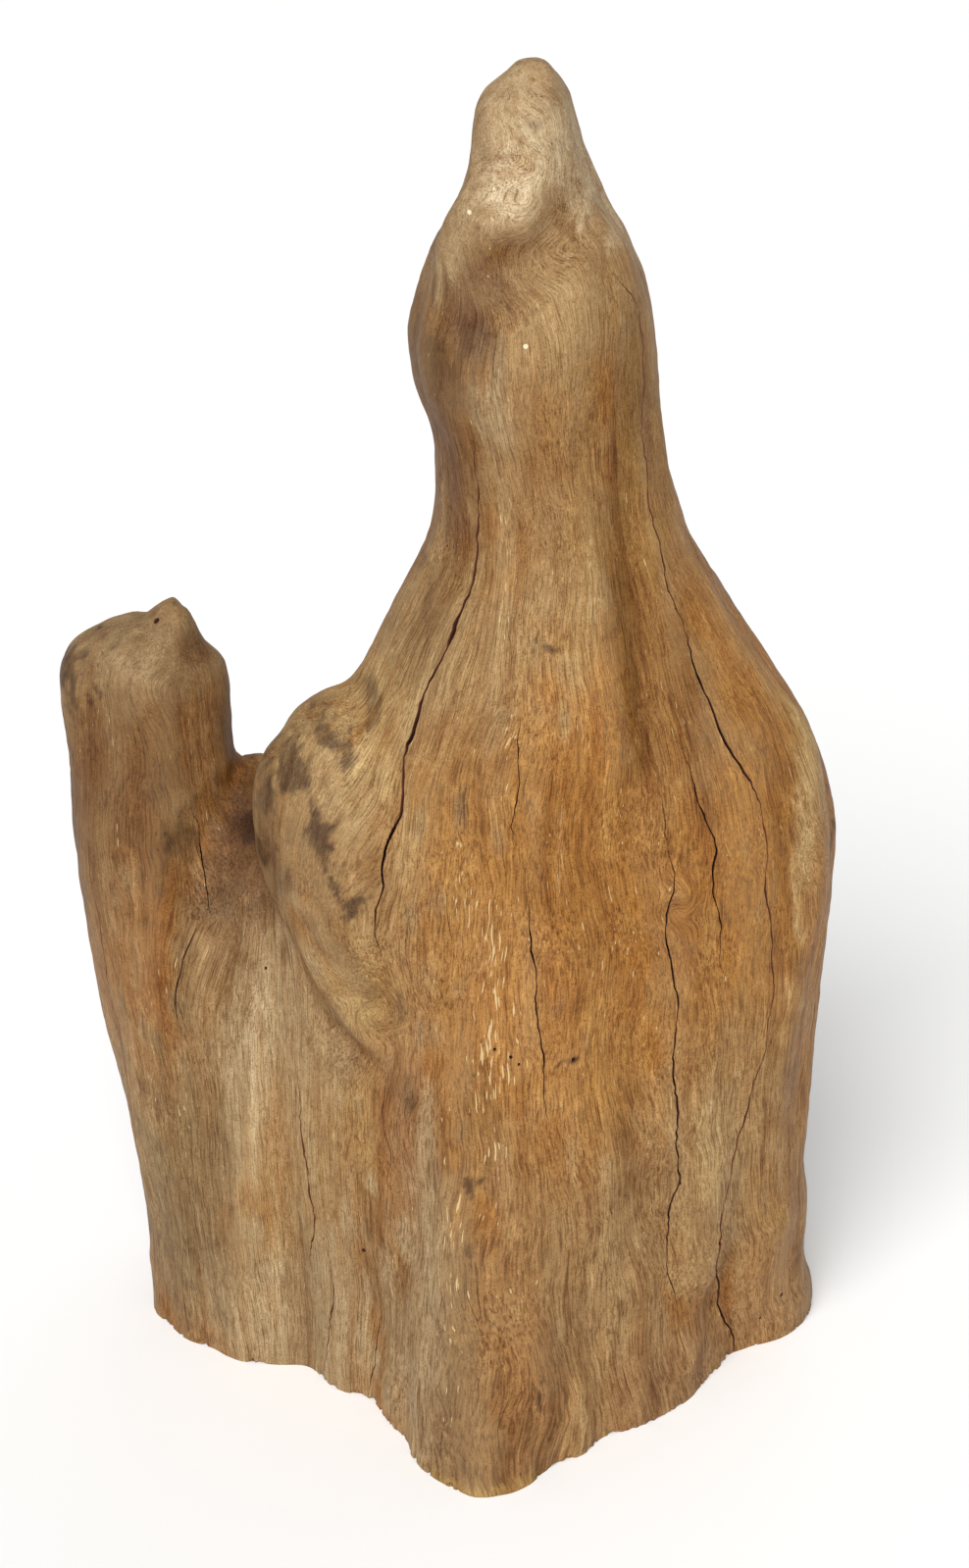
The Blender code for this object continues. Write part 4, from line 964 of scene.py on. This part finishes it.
# 1 inside a cut and 0 on its lips: a point counts as inside where none of its faces is skin
def cutDepth(mesh, slotOfFace):
    loopVertex = np.empty(len(mesh.loops), np.int64)
    mesh.loops.foreach_get("vertex_index", loopVertex)
    total = np.empty(len(mesh.polygons), np.int64)
    mesh.polygons.foreach_get("loop_total", total)
    onSkin = np.repeat((slotOfFace != crackSlot).astype(float), total)
    return (np.bincount(loopVertex, onSkin, len(mesh.vertices)) == 0).astype(float)


# An attribute with one value for each point
def addAttribute(mesh, name, kind, field, values):
    made = mesh.attributes.new(name, kind, "POINT")
    made.data.foreach_set(field, values.astype(np.float32).ravel())


# The attributes that the finishes read: fibre coordinates, colour with its patches of painted shade, stains,
# flecks, hollows for the painted shade and highlight, cuts and curls
def markSkin(mesh):
    slotOfFace = np.empty(len(mesh.polygons), np.int32)
    mesh.polygons.foreach_get("material_index", slotOfFace)
    points = readPoints(mesh)
    normals = skinNormals(mesh, slotOfFace)
    grain = fibreCoordinates(points)
    tint = woodTint(points, normals, grain)
    hollow = hollowness(mesh, points, normals, build["hollowSteps"])
    addAttribute(mesh, "grain", "FLOAT_VECTOR", "vector", grain * mm)
    addAttribute(mesh, "tint", "FLOAT_COLOR", "color", np.column_stack([tint, np.ones(len(points))]))
    s = spotStyle
    stained = spotMask(points, normals, stains, s["stainSeed"])
    flecked = spotMask(points, normals, flecks, s["fleckSeed"])
    curled = s["curlyPlaces"] * spotMask(points, normals, curlyPlaces, s["curlySeed"])
    addAttribute(mesh, "marks", "FLOAT_VECTOR", "vector", np.column_stack([stained, flecked, hollow]))
    addAttribute(mesh, "cut", "FLOAT", "value", cutDepth(mesh, slotOfFace))
    addAttribute(mesh, "curly", "FLOAT", "value", np.maximum(smoothStep(*s["curlyHead"], points[:, 2]), curled))
    print("cypress knee: hollows from", hollow.min().round(2), "to", hollow.max().round(2), "mm")


# Each of the next helpers adds a node and returns its output
def addNode(tree, kind, **settings):
    made = tree.nodes.new(kind)
    for name, value in settings.items():
        setattr(made, name, value)
    return made


def fill(tree, socket, value):
    if isinstance(value, bpy.types.NodeSocket):
        tree.links.new(value, socket)
    elif value is not None:
        socket.default_value = value


def attribute(tree, name, output="Vector"):
    return addNode(tree, "ShaderNodeAttribute", attribute_name=name).outputs[output]


def stretched(tree, vector, scale):
    node = addNode(tree, "ShaderNodeVectorMath", operation="MULTIPLY")
    fill(tree, node.inputs[0], vector)
    fill(tree, node.inputs[1], scale)
    return node.outputs[0]


def distanceTo(tree, vector, point):
    node = addNode(tree, "ShaderNodeVectorMath", operation="DISTANCE")
    fill(tree, node.inputs[0], vector)
    fill(tree, node.inputs[1], tuple(point))
    return node.outputs["Value"]


# Noise with one scale, or with one for each axis
def noise(tree, vector, scale, detail=3.0, roughness=0.55, distortion=0.0):
    node = addNode(tree, "ShaderNodeTexNoise")
    if isinstance(scale, tuple):
        vector, scale = stretched(tree, vector, scale), 1.0
    fill(tree, node.inputs["Vector"], vector)
    names = ("Scale", "Detail", "Roughness", "Distortion")
    for name, value in zip(names, (scale, detail, roughness, distortion)):
        node.inputs[name].default_value = value
    return node.outputs[0]


def step(tree, value, low, high, toLow=0.0, toHigh=1.0):
    node = addNode(tree, "ShaderNodeMapRange", interpolation_type="SMOOTHSTEP")
    names = ("Value", "From Min", "From Max", "To Min", "To Max")
    for name, given in zip(names, (value, low, high, toLow, toHigh)):
        fill(tree, node.inputs[name], given)
    return node.outputs[0]


def sums(tree, operation, first, second=None, third=None):
    node = addNode(tree, "ShaderNodeMath", operation=operation)
    for socket, value in zip(node.inputs, (first, second, third)):
        fill(tree, socket, value)
    return node.outputs[0]


# A thin line where a noise passes a level, fading out to its half-width
def lineAt(tree, pattern, level, halfWidth, core, amount, where):
    away = sums(tree, "ABSOLUTE", sums(tree, "SUBTRACT", pattern, level))
    return sums(tree, "MULTIPLY", step(tree, away, halfWidth, core, 0, amount), where)


def blendColour(tree, factor, first, second, mode="MIX"):
    node = addNode(tree, "ShaderNodeMix", data_type="RGBA", blend_type=mode)
    node.clamp_factor = True
    fill(tree, node.inputs[0], factor)
    for socket, colour in ((node.inputs[6], first), (node.inputs[7], second)):
        fill(tree, socket, colour if isinstance(colour, bpy.types.NodeSocket) else (*colour, 1.0))
    return node.outputs[2]


def addBump(tree, shader, height, strength, distance):
    bump = addNode(tree, "ShaderNodeBump")
    bump.inputs["Strength"].default_value = strength
    bump.inputs["Distance"].default_value = distance
    fill(tree, bump.inputs["Height"], height)
    fill(tree, shader.inputs["Normal"], bump.outputs[0])


def newMaterial(name):
    made = bpy.data.materials.new(name)
    made.use_nodes = True
    return made, made.node_tree, made.node_tree.nodes["Principled BSDF"]


# Layers that shade the wood's colour, one over another: what the noise follows, its scale, detail and
# roughness, where it starts and ends to show, how strongly, and the shade that the colour is multiplied by
skinLayers = {
    "bands": ("grain", (130, 130, 5), 3, 0.55, (0.42, 0.70), 1.0, (0.79, 0.69, 0.60)),
    "mottle": ("place", 60, 6, 0.7, (0.42, 0.66), 1.0, (0.90, 0.86, 0.82)),
    "paleFibres": ("grain", (560, 560, 13), 4, 0.65, (0.52, 0.70), 1.0, (1.34, 1.40, 1.50)),
    "darkFibres": ("grain", (700, 700, 17), 4, 0.65, (0.52, 0.66), 0.95, (0.58, 0.48, 0.39)),
    "hairs": ("grain", (1900, 1900, 60), 2, 0.55, (0.46, 0.64), 1.0, (0.57, 0.50, 0.44)),
    "flakes": ("grain", (430, 430, 258), 4, 0.75, (0.48, 0.66), 0.7, (1.28, 1.31, 1.36)),
    "blotches": ("place", 150, 5, 0.7, (0.50, 0.66), 1.0, (0.88, 0.83, 0.78)),
    "specks": ("place", 1100, 2, 0.6, (0.50, 0.66), 1.0, (0.68, 0.61, 0.54)),
}

# Spans are the values of the noise, or of the hollow in mm, at which a mark starts and is whole
skinFinish = {
    # the dark fibres come and go, and are fainter where the fibres curl
    "darkScale": 22, "darkSpan": (0.36, 0.66), "darkLeast": 0.35, "darkInCurls": 0.5,
    # painted shade darkens the skin where it lies under its smoothed form, and a painted highlight lightens it
    # on the ridges
    "hollowSpan": (0.3, 2.6), "paintedHollowShadeAmount": 0.55, "paintedHollowShade": (0.60, 0.48, 0.38),
    "ridgeSpan": (-0.3, -2.0), "paintedRidgeHighlightAmount": 0.15, "paintedRidgeHighlight": (0.50, 0.36, 0.18),
    "fleckScale": (1300, 1300, 70), "fleckLift": 0.165, "fleckSpan": (0.755, 0.80), "fleckAmount": 0.8,
    "fleckColour": (0.62, 0.47, 0.24),
    "dotColour": (0.74, 0.64, 0.44), "dotStretch": (1, 0.2, 1), "dotCore": 0.6,
    "stainScale": 70, "stainRagged": 0.8, "stainSpan": (0.56, 1.30), "stainShade": (0.34, 0.31, 0.34),
    "curlScale": (130, 130, 78), "curlLevel": 0.5, "curlHalfWidth": 0.018, "curlCore": 0.002,
    "curlPlaces": 120, "curlSpan": (0.48, 0.60), "curlShade": (0.58, 0.46, 0.35),
    "hairlineScale": (150, 150, 2.6), "hairlineLevel": 0.53, "hairlineHalfWidth": 0.0035,
    "hairlineAmount": 0.7, "hairlinePlaces": 17, "hairlineSpan": (0.50, 0.62),
    "hairlineShade": (0.36, 0.25, 0.17),
    "poreScale": (1500, 1500, 200), "poreSpan": (0.68, 0.76), "poreAmount": 0.6,
    "poreShade": (0.40, 0.30, 0.23),
    "specular": 0.15, "roughness": (0.50, 0.72), "roughSpan": (0.35, 0.7),  # the dark fibres are rougher
    "bumpStrength": 0.7, "bumpDistance": 0.0006,
    "bumpHeights": {
        "darkFibres": -0.8, "hairs": -0.35, "pores": -0.25, "hairlines": -0.9, "curls": -0.6, "mottle": 0.5},
}


# The peeled skin: tinted by the patches, then shaded by the layers, by painted shade in the hollows and a
# painted highlight on the ridges, and by flecks, dots, stains, curls, hairlines and pores
def makeSkin():
    f = skinFinish
    material, tree, shader = newMaterial("peeled cypress")
    grain = attribute(tree, "grain")
    place = addNode(tree, "ShaderNodeTexCoord").outputs["Object"]
    curly = attribute(tree, "curly", "Fac")
    split = addNode(tree, "ShaderNodeSeparateXYZ")
    fill(tree, split.inputs[0], attribute(tree, "marks"))
    stainMask, fleckMask, hollow = split.outputs
    colour = attribute(tree, "tint", "Color")

    darkPlaces = step(tree, noise(tree, place, f["darkScale"]), *f["darkSpan"], f["darkLeast"], 1.0)
    darkWhere = sums(tree, "MULTIPLY", darkPlaces, step(tree, curly, 0.0, 1.0, 1.0, f["darkInCurls"]))
    patterns = {}
    for name, (follows, scale, detail, roughness, span, amount, shade) in skinLayers.items():
        patterns[name] = noise(tree, grain if follows == "grain" else place, scale, detail, roughness)
        factor = step(tree, patterns[name], *span, 0, amount)
        if name == "darkFibres":
            factor = sums(tree, "MULTIPLY", factor, darkWhere)
        colour = blendColour(tree, factor, colour, shade, "MULTIPLY")

    # Painted shade in the hollows and a painted highlight on the ridges, by how far the skin lies under or over
    # its smoothed form
    paintedShadeInHollow = step(tree, hollow, *f["hollowSpan"], 0, f["paintedHollowShadeAmount"])
    colour = blendColour(tree, paintedShadeInHollow, colour, f["paintedHollowShade"], "MULTIPLY")
    paintedHighlightOnRidge = step(tree, hollow, *f["ridgeSpan"], 0, f["paintedRidgeHighlightAmount"])
    colour = blendColour(tree, paintedHighlightOnRidge, colour, f["paintedRidgeHighlight"])

    fleckNoise = noise(tree, grain, f["fleckScale"], detail=1)
    fleckAt = sums(tree, "MULTIPLY_ADD", fleckMask, f["fleckLift"], fleckNoise)
    flecked = step(tree, fleckAt, *f["fleckSpan"], 0, f["fleckAmount"])
    colour = blendColour(tree, flecked, colour, f["fleckColour"])

    for spot, radius in paleDots:
        centre = (np.array(spot) + tableToRow) * f["dotStretch"] * mm
        away = distanceTo(tree, stretched(tree, place, f["dotStretch"]), centre)
        inDot = step(tree, away, radius * mm, radius * mm * f["dotCore"])
        colour = blendColour(tree, inDot, colour, f["dotColour"])

    stainNoise = noise(tree, place, f["stainScale"], 6, 0.65)
    stainAt = sums(tree, "MULTIPLY_ADD", stainNoise, f["stainRagged"], stainMask)
    colour = blendColour(tree, step(tree, stainAt, *f["stainSpan"]), colour, f["stainShade"], "MULTIPLY")

    curlPlaces = step(tree, noise(tree, place, f["curlPlaces"], 2), *f["curlSpan"])
    curls = lineAt(tree, noise(tree, grain, f["curlScale"], 3, 0.6, 1.2), f["curlLevel"],
                   f["curlHalfWidth"], f["curlCore"], 1.0, sums(tree, "MULTIPLY", curlPlaces, curly))
    colour = blendColour(tree, curls, colour, f["curlShade"], "MULTIPLY")

    hairlinePlaces = step(tree, noise(tree, place, f["hairlinePlaces"]), *f["hairlineSpan"])
    hairlines = lineAt(tree, noise(tree, grain, f["hairlineScale"], 2, 0.4), f["hairlineLevel"],
                       f["hairlineHalfWidth"], 0.0, f["hairlineAmount"], hairlinePlaces)
    colour = blendColour(tree, hairlines, colour, f["hairlineShade"], "MULTIPLY")

    pores = step(tree, noise(tree, grain, f["poreScale"], detail=1), *f["poreSpan"])
    shaded = sums(tree, "MULTIPLY", pores, f["poreAmount"])
    colour = blendColour(tree, shaded, colour, f["poreShade"], "MULTIPLY")
    fill(tree, shader.inputs["Base Color"], colour)

    fill(tree, shader.inputs["Roughness"], step(tree, patterns["darkFibres"], *f["roughSpan"], *f["roughness"]))
    shader.inputs["Specular IOR Level"].default_value = f["specular"]
    patterns.update(pores=pores, hairlines=hairlines, curls=curls)
    height = 0.0
    for name, lift in f["bumpHeights"].items():
        height = sums(tree, "MULTIPLY_ADD", patterns[name], lift, height)
    addBump(tree, shader, height, f["bumpStrength"], f["bumpDistance"])
    return material


# The walls of the cracks and pinholes darken from the lip's colour to that of the depth: partly the darker wood
# inside, partly painted shade deep in the cut. Streaks along the fibres break up the change
crackFinish = {
    "lip": (0.20, 0.058, 0.024), "deep": (0.085, 0.022, 0.011), "span": (-0.02, 0.16), "roughness": 0.85,
    "streakScale": (900, 900, 25), "streakAmount": 0.2, "streakStart": 0.1,
}


def makeCrackWalls():
    f = crackFinish
    material, tree, shader = newMaterial("crack walls")
    depth = sums(tree, "SUBTRACT", attribute(tree, "cut", "Fac"), f["streakStart"])
    streaks = noise(tree, attribute(tree, "grain"), f["streakScale"])
    fade = sums(tree, "MULTIPLY_ADD", streaks, f["streakAmount"], depth)
    # partly the darker wood, partly painted shade: from the lip's colour to the deep one inside the cut
    colour = blendColour(tree, step(tree, fade, *f["span"]), f["lip"], f["deep"])
    fill(tree, shader.inputs["Base Color"], colour)
    shader.inputs["Roughness"].default_value = f["roughness"]
    return material


sawnFinish = {
    "heart": (0.03, 0.02, 0.0), "ringWidth": 0.0042, "ringSpan": (-0.2, 1.0), "bendScale": 14, "bend": 0.05,
    "pale": (0.47, 0.32, 0.17), "dark": (0.27, 0.16, 0.075), "roughness": 0.75,
    "sawScale": (900, 40, 1), "sawSpan": (0.4, 0.7), "sawAmount": 0.6, "sawShade": (0.7, 0.62, 0.55),
    "bumpStrength": 0.6, "bumpDistance": 0.0004,
}


# Growth rings: a sine of the distance from the heart of the trunk, bent by noise, with saw marks across them
def makeSawnFace():
    f = sawnFinish
    material, tree, shader = newMaterial("sawn end grain")
    place = addNode(tree, "ShaderNodeTexCoord").outputs["Object"]
    bend = noise(tree, place, f["bendScale"])
    reach = sums(tree, "MULTIPLY_ADD", bend, f["bend"], distanceTo(tree, place, f["heart"]))
    wave = sums(tree, "SINE", sums(tree, "MULTIPLY", reach, 2 * math.pi / f["ringWidth"]))
    colour = blendColour(tree, step(tree, wave, *f["ringSpan"]), f["pale"], f["dark"])
    sawMarks = noise(tree, place, f["sawScale"], detail=2)
    marked = step(tree, sawMarks, *f["sawSpan"], 0, f["sawAmount"])
    fill(tree, shader.inputs["Base Color"], blendColour(tree, marked, colour, f["sawShade"], "MULTIPLY"))
    shader.inputs["Roughness"].default_value = f["roughness"]
    addBump(tree, shader, sawMarks, f["bumpStrength"], f["bumpDistance"])
    return material


slotMaterials = [makeSkin(), makeCrackWalls(), makeSawnFace()]
print("cypress knee: finishes made")

workshop = newCollection("workshop")
kneeMesh = buildKnee(workshop)
markSkin(kneeMesh)
moved = readPoints(kneeMesh) + tableToRow
kneeMesh.vertices.foreach_set("co", (moved * mm).ravel())
kneeMesh.polygons.foreach_set("use_smooth", np.ones(len(kneeMesh.polygons), bool))
kneeMesh.set_sharp_from_angle(angle=math.radians(build["sharpAngle"]))
kneeMesh.update()
bpy.data.collections.remove(workshop)
knee = newObject("knee", kneeMesh, bpy.context.scene.collection)
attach(knee, "root")
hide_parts("cypress_knee")
kneeMesh.calc_loop_triangles()
print("cypress knee: the knee has", len(kneeMesh.loop_triangles), "triangles")

# Studio: a pale floor, a soft sky and a broad light high in front, in metres
studio = {
    "floorSize": 16.0, "floorColour": (0.94, 0.94, 0.935), "floorRoughness": 0.9, "skyStrength": 0.34,
    # where each light comes from, how wide it is in degrees, and its strength
    "lights": {"key": ((-0.25, -0.9, 0.85), 36, 3.3), "back": ((0.5, 0.9, 0.5), 70, 0.45)},
    "targetHeight": 0.33, "cameraElevation": 24.0, "cameraDistance": 1.6,
    "lens": 72.05, "sensor": 36.0, "clip": (0.05, 60),
}


# Stands a light or the camera at a place and turns it to face its target
def aimAt(thing, place, target):
    thing.location = place
    thing.rotation_euler = (Vector(target) - Vector(place)).to_track_quat("-Z", "Y").to_euler()


def buildStudio():
    scene = bpy.context.scene
    half = studio["floorSize"] / 2
    floorMesh = bpy.data.meshes.new("floor")
    corners = [(-half, -half, 0), (half, -half, 0), (half, half, 0), (-half, half, 0)]
    floorMesh.from_pydata(corners, [], [(0, 1, 2, 3)])
    floor = newObject("floor", floorMesh, scene.collection)
    material, tree, shader = newMaterial("pale floor")
    shader.inputs["Base Color"].default_value = (*studio["floorColour"], 1)
    shader.inputs["Roughness"].default_value = studio["floorRoughness"]
    floorMesh.materials.append(material)

    world = bpy.data.worlds.new("soft sky")
    world.use_nodes = True
    sky = world.node_tree.nodes["Background"]
    sky.inputs["Color"].default_value = (1, 1, 1, 1)
    sky.inputs["Strength"].default_value = studio["skyStrength"]
    scene.world = world
    for name, (place, width, strength) in studio["lights"].items():
        light = bpy.data.lights.new(name, "SUN")
        light.angle, light.energy = math.radians(width), strength
        aimAt(newObject(name, light, scene.collection), place, (0, 0, 0))

    cameraData = bpy.data.cameras.new("camera")
    cameraData.lens, cameraData.sensor_width = studio["lens"], studio["sensor"]
    cameraData.clip_start, cameraData.clip_end = studio["clip"]
    camera = newObject("camera", cameraData, scene.collection)
    up = math.radians(studio["cameraElevation"])
    target = Vector((*tableToRow[:2] * mm, studio["targetHeight"]))
    aimAt(camera, target + Vector((0, -math.cos(up), math.sin(up))) * studio["cameraDistance"], target)
    scene.camera = camera
    scene.view_settings.view_transform = "Standard"


buildStudio()
print("cypress knee: studio set")

bpy.context.view_layer.update()
